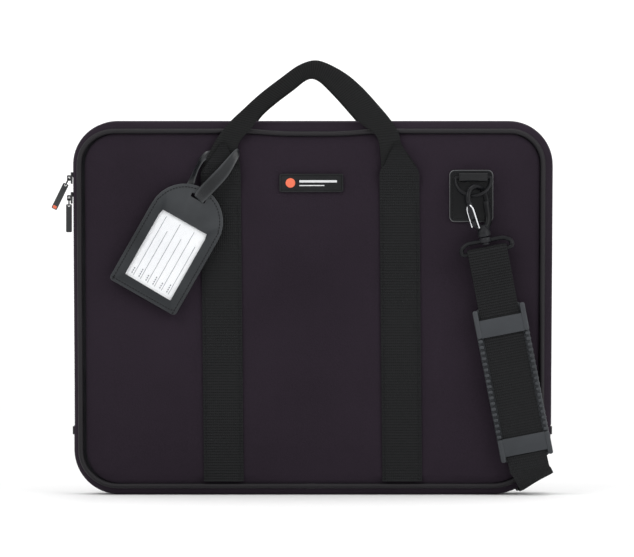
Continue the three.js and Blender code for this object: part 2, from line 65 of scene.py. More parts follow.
WORD = {FRONT: "front", BACK: "back"}
scene = bpy.context.scene


def node_box(node):
    low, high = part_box(node)
    return low / MM, high / MM


def joint(name):
    return next(j for j in frame["joints"] if j["name"] == name)


def smooth(low, high, value):
    t = min(max((value - low) / (high - low), 0.0), 1.0)
    return t * t * (3 - 2 * t)


# ---- driving dimensions ----
wall_low, wall_high = node_box("gusset")
HALF_WIDTH = wall_high.x
HEIGHT = wall_high.z
ZIP_END = wall_low.z
FACE = node_box("back_panel")[1].y
LINING_Y = node_box("back_lining")[0].y
TOP_RADIUS = 40
BOTTOM_LEFT_RADIUS = 42
BOTTOM_RIGHT_RADIUS = 56
TAPER = 0.009  # the bag is this share narrower at its foot
TAPER_TOP = 310
TOP_SAG = 2.5  # the top edge's seam sags between the handle's legs
WELT_RADIUS = 2.5
WELT_INSET = 8.5
PANEL_INSET = WELT_INSET + WELT_RADIUS
ZIP_Y = -12.1
BAND = 38
BAND_X = {"left": -86, "right": 84.5}
BAND_SPLAY = 1.5
STRAP = 38
RIB = 2.6  # one rib of the webbing
STRAP_Y = -joint("hook_front_swivel")["pos_m"][1] / MM


# ---- materials ----
def node(tree, kind, inputs=None, **settings):
    made = tree.nodes.new(kind)
    for key, value in settings.items():
        setattr(made, key, value)
    for key, value in (inputs or {}).items():
        if isinstance(value, bpy.types.NodeSocket):
            tree.links.new(value, made.inputs[key])
        else:
            made.inputs[key].default_value = value
    return made


def bands(tree, coordinate, pitch, axis):
    """Rounded ridges across an axis, one every pitch millimetres."""
    size = 0.314 / (pitch * MM)
    wave = node(tree, "ShaderNodeTexWave", {"Vector": coordinate, "Scale": size, "Distortion": 0.0},
                wave_type="BANDS", bands_direction=axis)
    return wave.outputs["Fac"]


def mix(tree, factor, low, high):
    """Blends two colours; each is three numbers or a socket."""
    made = node(tree, "ShaderNodeMix", {"Factor": factor}, data_type="RGBA")
    for key, value in (("A", low), ("B", high)):
        if isinstance(value, bpy.types.NodeSocket):
            tree.links.new(value, made.inputs[key])
        else:
            made.inputs[key].default_value = (*value, 1)
    return made.outputs["Result"]


def spread(tree, value, low, high, first=0.3, last=0.7):
    """Maps first to low and last to high."""
    ends = {"Value": value, "From Min": first, "From Max": last, "To Min": low, "To Max": high}
    return node(tree, "ShaderNodeMapRange", ends).outputs["Result"]


def add(tree, a, b):
    return node(tree, "ShaderNodeMath", {0: a, 1: b}, operation="ADD").outputs[0]


def times(tree, a, b):
    return node(tree, "ShaderNodeMath", {0: a, 1: b}, operation="MULTIPLY").outputs[0]


def clouds(tree, place, scale, detail):
    made = node(tree, "ShaderNodeTexNoise", {"Vector": place, "Scale": scale, "Detail": detail})
    return made.outputs["Fac"]


def start(name, roughness, sockets):
    made = bpy.data.materials.new(name)
    made.use_nodes = True
    tree = made.node_tree
    shader = tree.nodes["Principled BSDF"]
    shader.inputs["Roughness"].default_value = roughness
    for key, value in sockets.items():
        shader.inputs[key].default_value = value
    return made, tree, shader


def surface(tree, shader, colour, roughness, relief, strength, depth):
    """Gives a shader its colour, its roughness and a relief of so many millimetres."""
    bump = node(tree, "ShaderNodeBump", {"Height": relief, "Strength": strength, "Distance": depth * MM})
    made = (("Base Color", colour), ("Roughness", roughness), ("Normal", bump.outputs["Normal"]))
    for key, value in made:
        tree.links.new(value, shader.inputs[key])


def cloth(name, dark, light, pitch=(0.9, 0.9), depth=0.12, use_uv=False, rib=0.0, roughness=0.92, **sockets):
    """A woven cloth: crossing yarns, slubs, a slow drift of colour, and ribs across where it has them."""
    sockets.setdefault("Specular IOR Level", 0.09)
    made, tree, shader = start(name, roughness, sockets)
    place = node(tree, "ShaderNodeTexCoord").outputs
    here = place["UV" if use_uv else "Object"]
    axes = ("X", "Y") if use_uv else ("X", "Z")
    yarns = add(tree, *(bands(tree, here, gap, axis) for gap, axis in zip(pitch, axes)))
    slub = clouds(tree, place["Object"], 700.0, 2.0)
    drift = clouds(tree, place["Object"], 7.0, 3.0)
    shade = add(tree, times(tree, yarns, 0.22), times(tree, slub, 0.5))
    shade = add(tree, shade, times(tree, drift, 0.55))
    if rib:
        shade = add(tree, shade, times(tree, bands(tree, here, rib, "Y"), 0.55))
    colour = mix(tree, spread(tree, times(tree, shade, 0.7), 0.0, 1.0), dark, light)
    rough = spread(tree, slub, roughness - 0.08, min(roughness + 0.06, 1.0))
    surface(tree, shader, colour, rough, add(tree, yarns, times(tree, slub, 1.2)), 0.8, depth)
    return made


def hide(name, dark, light, grain=420.0, roughness=0.35, edge_wear_and_highlight=None, depth=0.08, **sockets):
    """Leather, rubber or coated metal: a grain, a slow drift of colour, and edges painted lighter, partly as
    wear and partly as a painted highlight.
    """
    made, tree, shader = start(name, roughness, sockets)
    place = node(tree, "ShaderNodeTexCoord").outputs["Object"]
    cells = node(tree, "ShaderNodeTexVoronoi", {"Vector": place, "Scale": grain}, feature="DISTANCE_TO_EDGE")
    fine = clouds(tree, place, grain * 2.4, 3.0)
    drift = clouds(tree, place, 22.0, 4.0)
    colour = mix(tree, spread(tree, drift, 0.0, 1.0), dark, light)
    # Convex edges get a lighter colour: partly edge wear, partly a painted highlight where the rolled edges
    # would catch the light.
    if edge_wear_and_highlight:
        edge = node(tree, "ShaderNodeNewGeometry").outputs["Pointiness"]
        edge = spread(tree, edge, 0.0, 1.0, first=0.52, last=0.6)
        colour = mix(tree, times(tree, edge, drift), colour, edge_wear_and_highlight)
    rough = spread(tree, drift, max(roughness - 0.07, 0.03), roughness + 0.09)
    relief = add(tree, cells.outputs["Distance"], times(tree, fine, 0.5))
    surface(tree, shader, colour, rough, relief, 0.6, depth)
    return made


SHELL_CLOTH = cloth("shell_cloth", (0.0095, 0.0066, 0.0100), (0.0235, 0.0168, 0.0250), roughness=0.88,
                    **{"Sheen Weight": 0.06, "Sheen Roughness": 0.5, "Sheen Tint": (0.6, 0.5, 0.65, 1)})
LINING = cloth("lining_cloth", (0.010, 0.010, 0.012), (0.022, 0.022, 0.025), pitch=(0.7, 0.7), roughness=0.6)
WEBBING = cloth("ribbed_webbing", (0.0022, 0.0023, 0.0025), (0.0158, 0.0162, 0.0170), pitch=(1.9, 1.3),
                depth=0.4, use_uv=True, rib=RIB, roughness=0.8)
HANDLE_WEBBING = cloth("handle_webbing", (0.0030, 0.0031, 0.0032), (0.0170, 0.0175, 0.0178), pitch=(1.3, 1.3),
                       depth=0.4, use_uv=True, rib=RIB, roughness=0.8)
WELT = cloth("welt_weave", (0.0050, 0.0045, 0.0055), (0.0135, 0.0120, 0.0145), pitch=(0.8, 0.8), depth=0.08,
             use_uv=True, roughness=0.46, **{"Specular IOR Level": 0.22})
TAPE = cloth("zip_tape_weave", (0.006, 0.006, 0.007), (0.015, 0.015, 0.017), pitch=(0.8, 1.1), use_uv=True)
THREAD = cloth("sewing_thread", (0.006, 0.006, 0.007), (0.020, 0.020, 0.022), pitch=(0.5, 0.5), roughness=0.6)
TEETH = hide("zip_teeth_plastic", (0.006, 0.006, 0.007), (0.013, 0.013, 0.015), grain=900.0, roughness=0.38,
             **{"Specular IOR Level": 0.3})
MOULDED = hide("moulded_plastic", (0.010, 0.011, 0.012), (0.020, 0.021, 0.023), grain=1100.0, roughness=0.42,
               edge_wear_and_highlight=(0.05, 0.052, 0.056), **{"Specular IOR Level": 0.35})
BADGE = hide("badge_rubber", (0.0045, 0.0050, 0.0055), (0.0090, 0.0100, 0.0110), grain=1300.0, roughness=0.5,
             edge_wear_and_highlight=(0.05, 0.05, 0.052), **{"Specular IOR Level": 0.12})
# The patch's pale edge colour is partly a painted highlight on its rolled border and partly wear.
GLOSS = hide("gloss_leather", (0.0025, 0.0027, 0.0032), (0.0065, 0.0070, 0.0080), grain=520.0,
             roughness=0.2, edge_wear_and_highlight=(0.45, 0.46, 0.47),
             **{"Specular IOR Level": 0.1, "Coat Weight": 0.12, "Coat Roughness": 0.12})
TAB_LEATHER = hide("tab_leather", (0.0035, 0.0038, 0.0042), (0.0085, 0.0090, 0.0100), grain=520.0,
                   roughness=0.25, **{"Specular IOR Level": 0.25})
# The tag's lighter rim colour is partly wear and partly a painted highlight on its rolled edge.
TAG_LEATHER = hide("tag_leather", (0.0075, 0.0092, 0.0112), (0.0150, 0.0176, 0.0206), grain=620.0,
                   roughness=0.38, edge_wear_and_highlight=(0.12, 0.125, 0.13),
                   **{"Specular IOR Level": 0.24, "Coat Weight": 0.1, "Coat Roughness": 0.3})
STRAP_LEATHER = hide("tag_strap_leather", (0.0045, 0.0052, 0.0060), (0.0125, 0.0140, 0.0160), grain=700.0,
                     roughness=0.26, edge_wear_and_highlight=(0.08, 0.085, 0.09),
                     **{"Specular IOR Level": 0.3, "Coat Weight": 0.12, "Coat Roughness": 0.2})
RUBBER = hide("pad_rubber", (0.0165, 0.0190, 0.0225), (0.0290, 0.0325, 0.0375), grain=1200.0, roughness=0.6,
              edge_wear_and_highlight=(0.08, 0.085, 0.09), **{"Specular IOR Level": 0.3})
BLACK_METAL = hide("black_metal", (0.0020, 0.0021, 0.0025), (0.0050, 0.0052, 0.0060), grain=800.0,
                   roughness=0.24, edge_wear_and_highlight=(0.035, 0.036, 0.04), depth=0.03, **{"Specular IOR Level": 0.13})
STEEL = hide("spring_steel", (0.72, 0.73, 0.75), (0.82, 0.83, 0.85), grain=300.0, roughness=0.14, depth=0.02,
             **{"Metallic": 1.0})
PAPER = hide("card_paper", (0.78, 0.785, 0.80), (0.88, 0.885, 0.89), grain=900.0, roughness=0.85, depth=0.02)
INK = hide("grey_ink", (0.20, 0.21, 0.23), (0.30, 0.31, 0.33), grain=1500.0, roughness=0.8, depth=0.01)
CORAL = hide("coral_enamel", (0.62, 0.10, 0.045), (0.74, 0.15, 0.07), grain=1400.0, roughness=0.45,
             depth=0.02)
PALE = hide("pale_enamel", (0.52, 0.53, 0.54), (0.66, 0.67, 0.68), grain=1400.0, roughness=0.45,
            depth=0.02)
FILM = hide("clear_film", (0.9, 0.92, 0.94), (0.97, 0.98, 0.99), grain=90.0, roughness=0.08, depth=0.02,
            **{"Transmission Weight": 1.0, "IOR": 1.15, "Alpha": 0.25})


# ---- mesh building ----
class Shape:
    """Closed forms, in millimetres, that become one piece."""

    def __init__(self):
        self.points = []
        self.faces = []
        self.flat = []

    def loft(self, rings, looped=False):
        """Skins a row of rings of points. looped joins the last ring to the first."""
        first, count, rows = len(self.points), len(rings[0]), len(rings)
        along = [0.0]
        for before, after in zip(rings, rings[1:]):
            along.append(along[-1] + (after[0] - before[0]).length)
        across = [0.0]
        for k in range(count):
            across.append(across[-1] + (rings[0][(k + 1) % count] - rings[0][k]).length)
        faces, flat = [], []
        for i in range(rows if looped else rows - 1):
            a, b = i * count, (i + 1) % rows * count
            v0, v1 = along[i], along[i + 1] if i + 1 < rows else along[i] + 1
            for k in range(count):
                j = (k + 1) % count
                faces.append((a + k, a + j, b + j, b + k))
                flat.append(((across[k], v0), (across[k + 1], v0), (across[k + 1], v1), (across[k], v1)))
        if not looped:
            last = (rows - 1) * count
            for face in (tuple(range(count))[::-1], tuple(range(last, last + count))):
                faces.append(face)
                flat.append([(across[i % count], 0.0) for i in face])
        points = [p for ring in rings for p in ring]
        volume = 0.0
        for face in faces:
            a = points[face[0]]
            for i in range(1, len(face) - 1):
                volume += a.dot(points[face[i]].cross(points[face[i + 1]]))
        for face, uv in zip(faces, flat):
            order = range(len(face)) if volume > 0 else range(len(face) - 1, -1, -1)
            self.faces.append([first + face[i] for i in order])
            self.flat.append([uv[i] for i in order])
        self.points += points
        return self

    def build(self, name, material, sharp=38):
        mesh = bpy.data.meshes.new(name)
        mesh.from_pydata([p * MM for p in self.points], [], self.faces)
        layer = mesh.uv_layers.new(name="UVMap")
        layer.data.foreach_set("uv", [c * MM for face in self.flat for uv in face for c in uv])
        mesh.shade_smooth()
        mesh.set_sharp_from_angle(angle=math.radians(sharp))
        mesh.materials.append(material)
        made = bpy.data.objects.new(name, mesh)
        scene.collection.objects.link(made)
        return made


def tube(shape, points, wide, thick, face, closed=False, sides=12):
    """A rounded bar along a path. face is the direction that its thickness is measured in."""
    rings = []
    for i, at in enumerate(points):
        after = points[(i + 1) % len(points)] if closed else points[min(i + 1, len(points) - 1)]
        side = (after - points[i - 1 if closed else max(i - 1, 0)]).cross(face).normalized()
        out = (after - points[i - 1 if closed else max(i - 1, 0)]).cross(side).normalized()
        ring = []
        for k in range(sides):
            turn = 2 * math.pi * k / sides
            ring.append(at + side * wide * math.cos(turn) + out * thick * math.sin(turn))
        rings.append(ring)
    if not closed:
        ends = []
        for ring, at in ((rings[0], points[0] - points[1]), (rings[-1], points[-1] - points[-2])):
            middle = sum(ring, Vector()) / sides
            ends.append([middle + (p - middle) * 0.6 + at.normalized() * thick * 0.5 for p in ring])
        rings = [ends[0], *rings, ends[1]]
    return shape.loft(rings, looped=closed)


def rounded(corners, radius, steps=5, closed=True):
    """A path with its corners rounded off."""
    path = []
    for i, at in enumerate(corners):
        if not closed and i in (0, len(corners) - 1):
            path.append(at)
            continue
        before, after = corners[i - 1] - at, corners[(i + 1) % len(corners)] - at
        a = at + before.normalized() * min(radius, before.length * 0.49)
        b = at + after.normalized() * min(radius, after.length * 0.49)
        for k in range(steps + 1):
            t = k / steps
            path.append(a * (1 - t) ** 2 + at * 2 * t * (1 - t) + b * t ** 2)
    return path


def curve(controls, spacing):
    """Even samples of a smooth curve through rows of numbers; the first three are its place."""
    rows = [controls[0], *controls, controls[-1]]
    dense = []
    for p0, p1, p2, p3 in zip(rows, rows[1:], rows[2:], rows[3:]):
        for k in range(24):
            t = k / 24
            dense.append([0.5 * (2 * b + (c - a) * t + (2 * a - 5 * b + 4 * c - d) * t * t
                                 + (3 * b - a - 3 * c + d) * t ** 3) for a, b, c, d in zip(p0, p1, p2, p3)])
    dense.append(list(controls[-1]))
    lengths = [0.0]
    for a, b in zip(dense, dense[1:]):
        lengths.append(lengths[-1] + (Vector(b[:3]) - Vector(a[:3])).length)
    count = max(int(lengths[-1] / spacing), 2)
    samples, i = [], 0
    for k in range(count + 1):
        wanted = lengths[-1] * k / count
        while i < len(lengths) - 2 and lengths[i + 1] < wanted:
            i += 1
        t = (wanted - lengths[i]) / max(lengths[i + 1] - lengths[i], 1e-9)
        samples.append([a + (b - a) * t for a, b in zip(dense[i], dense[i + 1])])
    return samples


def webbing(shape, controls, thickness, rib=RIB, lift=0.32, columns=8):
    """A woven strip. Each control is place, direction across and width; its ribs run across it."""
    samples = curve(controls, rib / 4)
    rings = []
    for i, row in enumerate(samples):
        at, across, width = Vector(row[:3]), Vector(row[3:6]).normalized(), row[6]
        tangent = Vector(samples[min(i + 1, len(samples) - 1)][:3]) - Vector(samples[max(i - 1, 0)][:3])
        up = tangent.cross(across).normalized()
        high = thickness / 2 - lift * (0.5 + 0.5 * math.cos(math.pi * i / 2))
        top, base = [], []
        for k in range(columns + 1):
            u = 2 * k / columns - 1
            edge = 0.45 if k in (0, columns) else 1.0
            top.append(at + across * (u * width / 2) + up * high * edge)
            base.append(at + across * (u * width / 2) - up * high * edge)
        rings.append(top + base[::-1])
    return shape.loft(rings)


def stitches(shape, path, out, length=2.6, gap=1.5, radius=0.28):
    """A row of sewn threads that lie along a path; out is the direction that they stand up in."""
    rows = curve([list(p) for p in path], 0.5)
    step = int((length + gap) / 0.5)
    span = int(length / 0.5)
    for i in range(1, len(rows) - span, step):
        a, b = Vector(rows[i]), Vector(rows[i + span])
        direction = (b - a).normalized()
        side = direction.cross(out).normalized()
        rings = []
        for t, size in ((0.0, 0.35), (0.2, 1.0), (0.8, 1.0), (1.0, 0.35)):
            at = a.lerp(b, t) + out * (radius * (0.9 if 0 < t < 1 else 0.0))
            rings.append([at + side * (radius * size * math.cos(q)) + out * (radius * size * math.sin(q))
                          for q in (math.pi * k / 3 for k in range(6))])
        shape.loft(rings)
    return shape


def plate(shape, outline, y0, y1, edge, place, dome=0.0):
    """A plate with rolled edges.

    outline(inset) gives its rim as (x, z), and dome lifts its middle on the y0 side.
    """
    sign = 1 if y1 > y0 else -1
    roll, low, high = edge * 0.3, y0 + sign * edge, y1 - sign * edge
    steps = [(edge, y0), (roll, y0 + sign * roll), (0.0, low),
             (0.0, high), (roll, y1 - sign * roll), (edge, y1)]
    if dome:
        steps = [(edge + 9.0, y0 - sign * dome), (edge + 4.0, y0 - sign * dome * 0.8),
                 (edge + 1.2, y0 - sign * dome * 0.25)] + steps
    return shape.loft([[place @ Vector((x, y, z)) for x, z in outline(inset)] for inset, y in steps])


def framed(shape, outline, hole, y0, y1, edge, place):
    """A plate with a window in it. Both outlines have the same number of points."""
    sign = 1 if y1 > y0 else -1
    low = y0 + sign * edge
    high = y1 - sign * edge
    roll = edge * 0.3
    steps = [(outline, 0.0, low), (outline, roll, y0 + sign * roll), (outline, edge, y0), (hole, -edge, y0),
             (hole, -roll, y0 + sign * roll), (hole, 0.0, low), (hole, 0.0, high), (hole, -edge, y1),
             (outline, edge, y1), (outline, 0.0, high)]
    rings = [[place @ Vector((x, y, z)) for x, z in line(inset)] for line, inset, y in steps]
    return shape.loft(rings, looped=True)


def rectangle(x0, z0, x1, z1, radius, steps=6):
    """The rim of a rounded rectangle, as a function of its inset."""
    def rim_at(inset):
        r = max(radius - inset, 0.2)
        points = []
        for cx, cz, first in ((x1 - inset - r, z0 + inset + r, -90), (x1 - inset - r, z1 - inset - r, 0),
                              (x0 + inset + r, z1 - inset - r, 90), (x0 + inset + r, z0 + inset + r, 180)):
            for k in range(steps + 1):
                turn = math.radians(first + 90 * k / steps)
                points.append((cx + r * math.cos(turn), cz + r * math.sin(turn)))
        return points
    return rim_at


def block(shape, place, low, high, edge):
    """A moulded block with rolled edges, between two corners."""
    outline = rectangle(low[0], low[2], high[0], high[2], edge * 1.4, steps=3)
    return plate(shape, outline, low[1], high[1], edge, place)


def turned(shape, place, profile, sides=24, hollow=False):
    """A turned form about the local z axis; profile is a row of (radius, height)."""
    turns = [2 * math.pi * k / sides for k in range(sides)]
    rings = [[place @ Vector((r * math.cos(t), r * math.sin(t), z)) for t in turns] for r, z in profile]
    return shape.loft(rings, looped=hollow)


def finish(piece, body, material_slot, *replaced):
    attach(piece, body)
    if replaced:
        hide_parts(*replaced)
    return piece


def bend(piece, bodies, start_at, end_at, material_slot, *replaced):
    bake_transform(piece)
    if replaced:
        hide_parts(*replaced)
    return piece


def local_frame(at, x, y, z):
    made = Matrix((x, y, z)).transposed().to_4x4()
    made.translation = at
    return made


def clip_frame(prefix, side):
    """The frame of a hook's swivel: z up the strap and -y out of the bag."""
    swivel = joint(f"hook_{prefix}_swivel")
    up = Vector(swivel["axis"]).normalized()
    y = Vector((0, -side, 0))
    return local_frame(Vector(swivel["pos_m"]) / MM, y.cross(up), y, up)


def anchor_frame(prefix, side):
    swing = joint(f"dring_{prefix}_swing")
    x = Vector(swing["axis"]).normalized()
    y = Vector((0, -side, 0))
    return local_frame(Vector(swing["pos_m"]) / MM, x, y, x.cross(y))


# ---- the bag's outline ----
def settle(x, z, inset):
    """The worn-in shape: narrower at the foot, and a top seam that sags between the handle's legs."""
    x *= 1 - TAPER * max(0.0, 1 - z / TAPER_TOP)
    sag = TOP_SAG * math.exp(-((x / 48) ** 4)) * smooth(0, 6, inset) * smooth(HEIGHT - 60, HEIGHT - 14, z)
    return x, z - sag


def rim(step=4.0):
    """Stations round the outline, anticlockwise from the middle of the underside: (x, z, out x, out z)."""
    right, left = HALF_WIDTH, -HALF_WIDTH
    corners = [(right - BOTTOM_RIGHT_RADIUS, BOTTOM_RIGHT_RADIUS, BOTTOM_RIGHT_RADIUS, -90),
               (right - TOP_RADIUS, HEIGHT - TOP_RADIUS, TOP_RADIUS, 0),
               (left + TOP_RADIUS, HEIGHT - TOP_RADIUS, TOP_RADIUS, 90),
               (left + BOTTOM_LEFT_RADIUS, BOTTOM_LEFT_RADIUS, BOTTOM_LEFT_RADIUS, 180)]
    stations, at = [], Vector((0, 0))
    for cx, cz, radius, first in corners:
        out = Vector((math.cos(math.radians(first)), math.sin(math.radians(first))))
        end = Vector((cx, cz)) + out * radius
        count = max(int((end - at).length / step), 1)
        stations += [(*at.lerp(end, k / count), *out) for k in range(count)]
        arc = max(int(radius * math.pi / 2 / step), 6)
        for k in range(arc):
            turn = math.radians(first + 90 * k / arc)
            out = Vector((math.cos(turn), math.sin(turn)))
            stations.append((cx + radius * out.x, cz + radius * out.y, *out))
        out = Vector((math.cos(math.radians(first + 90)), math.sin(math.radians(first + 90))))
        at = Vector((cx, cz)) + out * radius
    count = int(at.length / step)
    stations += [(*at.lerp(Vector((0, 0)), k / count), 0, -1) for k in range(count)]
    return stations


def arch(step=4.0, low=ZIP_END):
    """The stations of the zipped part, up the right side, over the top and down the left."""
    over = [s for s in rim(step) if s[1] > low + 1]
    right, left = over[0], over[-1]
    return [(right[0], low, 1, 0), *over, (left[0], low, -1, 0)]


def trough(step=4.0, high=ZIP_END):
    """The stations of the closed part below the zip, down the left side and up the right."""
    stations = rim(step)
    under_right = [s for s in stations if s[1] < high - 1 and s[0] >= 0]
    under_left = [s for s in stations if s[1] < high - 1 and s[0] < 0]
    return [(-HALF_WIDTH, high, -1, 0), *under_left, *under_right, (HALF_WIDTH, high, 1, 0)]


def left_share(station):
    return max(-station[2], 0.0)


def put(station, inset, y):
    x, z, out_x, out_z = station
    x, z = settle(x - out_x * inset, z - out_z * inset, inset)
    return Vector((x, y, z))


def sweep(shape, stations, profile, looped=False):
    """Skins a profile of (inset, y) round the outline; profile is a function of the station."""
    return shape.loft([[put(s, inset, y) for inset, y in profile(s)] for s in stations], looped)


def skin(outer, thickness):
    """A closed profile: the outer line, then the same line further in, backwards."""
    return outer + [(inset + thickness, y * 0.98) for inset, y in reversed(outer)]


# ---- padded panels, linings, welts and walls ----
def inside(x, z):
    """How far a point lies inside the outline."""
    right, left = HALF_WIDTH - x, HALF_WIDTH + x
    best = min(right, left, z, HEIGHT - z)
    for across, up, radius in ((right, z, BOTTOM_RIGHT_RADIUS), (left, z, BOTTOM_LEFT_RADIUS),
                               (right, HEIGHT - z, TOP_RADIUS), (left, HEIGHT - z, TOP_RADIUS)):
        if across < radius and up < radius:
            best = radius - math.hypot(radius - across, radius - up)
    return best


def row_ends(z, inset):
    """The left and right end of the outline's row at a height."""
    ends = []
    for low_radius in (BOTTOM_LEFT_RADIUS, BOTTOM_RIGHT_RADIUS):
        radius = low_radius if z < HEIGHT / 2 else TOP_RADIUS
        up = radius - min(z, HEIGHT - z)
        reach = math.sqrt(max((radius - inset) ** 2 - up ** 2, 0.0)) if up > 0 else radius - inset
        ends.append(HALF_WIDTH - radius + reach)
    return -ends[0], ends[1]


def grid_slab(inset, columns, rows, outer, inner):
    """A closed slab that fills the outline. outer and inner give y at (x, z)."""
    points = []
    for surface in (outer, inner):
        for r in range(rows + 1):
            z = inset + (HEIGHT - 2 * inset) * (0.5 - 0.5 * math.cos(math.pi * r / rows))
            left, right = row_ends(z, inset)
            for c in range(columns + 1):
                t = c / columns
                t = 0.75 * t + 0.25 * (0.5 - 0.5 * math.cos(math.pi * t))
                x = left + (right - left) * t
                sx, sz = settle(x, z, inside(x, z))
                points.append(Vector((sx, surface(x, z), sz)))
    wide = columns + 1
    back = wide * (rows + 1)
    faces = []
    for r in range(rows):
        for c in range(columns):
            a = r * wide + c
            faces.append((a, a + 1, a + wide + 1, a + wide))
            faces.append((back + a, back + a + wide, back + a + wide + 1, back + a + 1))
    border = list(range(wide)) + [r * wide + columns for r in range(1, rows + 1)]
    border += [rows * wide + c for c in range(columns - 1, -1, -1)]
    border += [r * wide for r in range(rows - 1, 0, -1)]
    for a, b in zip(border, border[1:] + border[:1]):
        faces.append((b, a, back + a, back + b))
    return points, faces


def slab_piece(name, points, faces, material):
    mesh = bpy.data.meshes.new(name)
    mesh.from_pydata([p * MM for p in points], [], faces)
    made = bpy.data.objects.new(name, mesh)
    scene.collection.objects.link(made)
    work = bmesh.new()
    work.from_mesh(mesh)
    bmesh.ops.recalc_face_normals(work, faces=work.faces)
    work.to_mesh(mesh)
    work.free()
    mesh.shade_smooth()
    mesh.materials.append(material)
    return made


def swell(piece, held, cap, pressure):
    """Blows a padded piece up as cloth, holds what is sewn, and keeps each point's movement under its cap."""
    group = piece.vertex_groups.new(name="sewn")
    group.add(held, 1.0, "REPLACE")
    puff = piece.modifiers.new("puff", "CLOTH")
    settings = puff.settings
    settings.quality = 4
    settings.mass = 0.2
    settings.tension_stiffness = 12
    settings.compression_stiffness = 12
    settings.bending_stiffness = 0.8
    settings.use_pressure = True
    settings.uniform_pressure_force = pressure
    settings.vertex_group_mass = "sewn"
    settings.effector_weights.gravity = 0
    puff.collision_settings.use_self_collision = False
    puff.point_cache.frame_start = 1
    puff.point_cache.frame_end = 20
    for moment in range(1, 21):
        scene.frame_set(moment)
    blown = piece.evaluated_get(bpy.context.evaluated_depsgraph_get())
    for was, blown_out in zip(piece.data.vertices, blown.data.vertices):
        move = blown_out.co - was.co
        limit = cap(was.co.x / MM, was.co.z / MM) * MM
        if move.length > 1e-9:
            reach = limit * math.tanh(move.length / max(limit, 1e-6))
            was.co = was.co + move.normalized() * reach
    piece.modifiers.remove(puff)
    scene.frame_set(1)


patch_box = node_box("dring_patch_front")
rear_patch_box = node_box("dring_patch_rear")
label_box = node_box("label_plate")


def clear_of(box, x, z):
    """How far a point on a panel lies outside a box."""
    low, high = box
    return math.hypot(max(low.x - x, x - high.x, 0.0), max(low.z - z, z - high.z, 0.0))


PUFF = 2.6


def add_panel(side):
    word = WORD[side]
    patch = patch_box if side == FRONT else rear_patch_box

    def outer(x, z):
        d = inside(x, z) - PANEL_INSET
        rolled = 3.2 * (1 - smooth(-1, 8, d))
        ripple = 0.35 * noise.noise(Vector((x / 60, z / 75, side * 3.0))) * smooth(2, 20, d)
        return side * (FACE - 0.3 - rolled + ripple)

    points, faces = grid_slab(PANEL_INSET, 92, 74, outer, lambda x, z: side * (LINING_Y + 1.2))
    piece = slab_piece(f"{word}_panel_padding", points, faces, SHELL_CLOTH)

    def flat_share(x, z):
        """0 where something sewn on holds the panel flat, and 1 well away from it."""
        clear = min(abs(x - centre) - BAND / 2 for centre in BAND_X.values())
        clear = min(clear, clear_of(patch, x, z))
        if side == FRONT:
            clear = min(clear, clear_of(label_box, x, z))
        return smooth(-1, 20, clear)

    half = len(points) // 2
    held = [i for i, p in enumerate(points) if i >= half or inside(p.x, p.z) < PANEL_INSET + 3]

    def cap(x, z):
        under_pad = smooth(112, 140, x) * (1 - smooth(232, 262, z)) if side == FRONT else 0
        return PUFF * flat_share(x, z) * (1 - 0.8 * under_pad)

    swell(piece, held, cap, 4)
    fine = piece.modifiers.new("fine", "SUBSURF")
    fine.levels = fine.render_levels = 1
    finish(piece, SHELL[side], "shell_cloth", f"{word}_panel", f"{word}_foam")
    return piece


def add_lining(side):
    word = WORD[side]
    inset = 3.0

    def face(x, z):
        d = inside(x, z)
        pucker = 0.35 * math.sin((x + z) / 5.5) * (1 - smooth(10, 26, d))
        return side * (LINING_Y + 0.35 + pucker + 0.5 * noise.noise(Vector((x / 40, z / 40, 9.0 + side))))

    points, faces = grid_slab(inset, 80, 60, lambda x, z: face(x, z) + side * 0.5, face)
    piece = slab_piece(f"{word}_lining_cloth", points, faces, LINING)
    finish(piece, SHELL[side], "lining_cloth", f"{word}_lining")


def welt_inset(station):
    return WELT_INSET - 2.5 * left_share(station) ** 2


def add_welt(side):
    word = WORD[side]
    y = side * (FACE + 0.6 - WELT_RADIUS)

    def circle(station, radius=WELT_RADIUS):
        middle = welt_inset(station)
        return [(middle + radius * math.cos(t), y + radius * math.sin(t))
                for t in (2 * math.pi * k / 14 for k in range(14))]

    shape = Shape()
    sweep(shape, rim(3.0), circle, looped=True)
    join = [s for s in rim(2.0) if abs(s[0] + 2) < 5 and s[1] < 1]
    join.sort(key=lambda s: s[0])
    if len(join) > 1:
        sweep(shape, join, lambda s: circle(s, WELT_RADIUS + 0.35))
    finish(shape.build(f"{word}_welt", WELT), SHELL[side], "piping", f"{word}_piping")


RIM_LIFT = 1.2  # how far the walls bulge beyond the outline


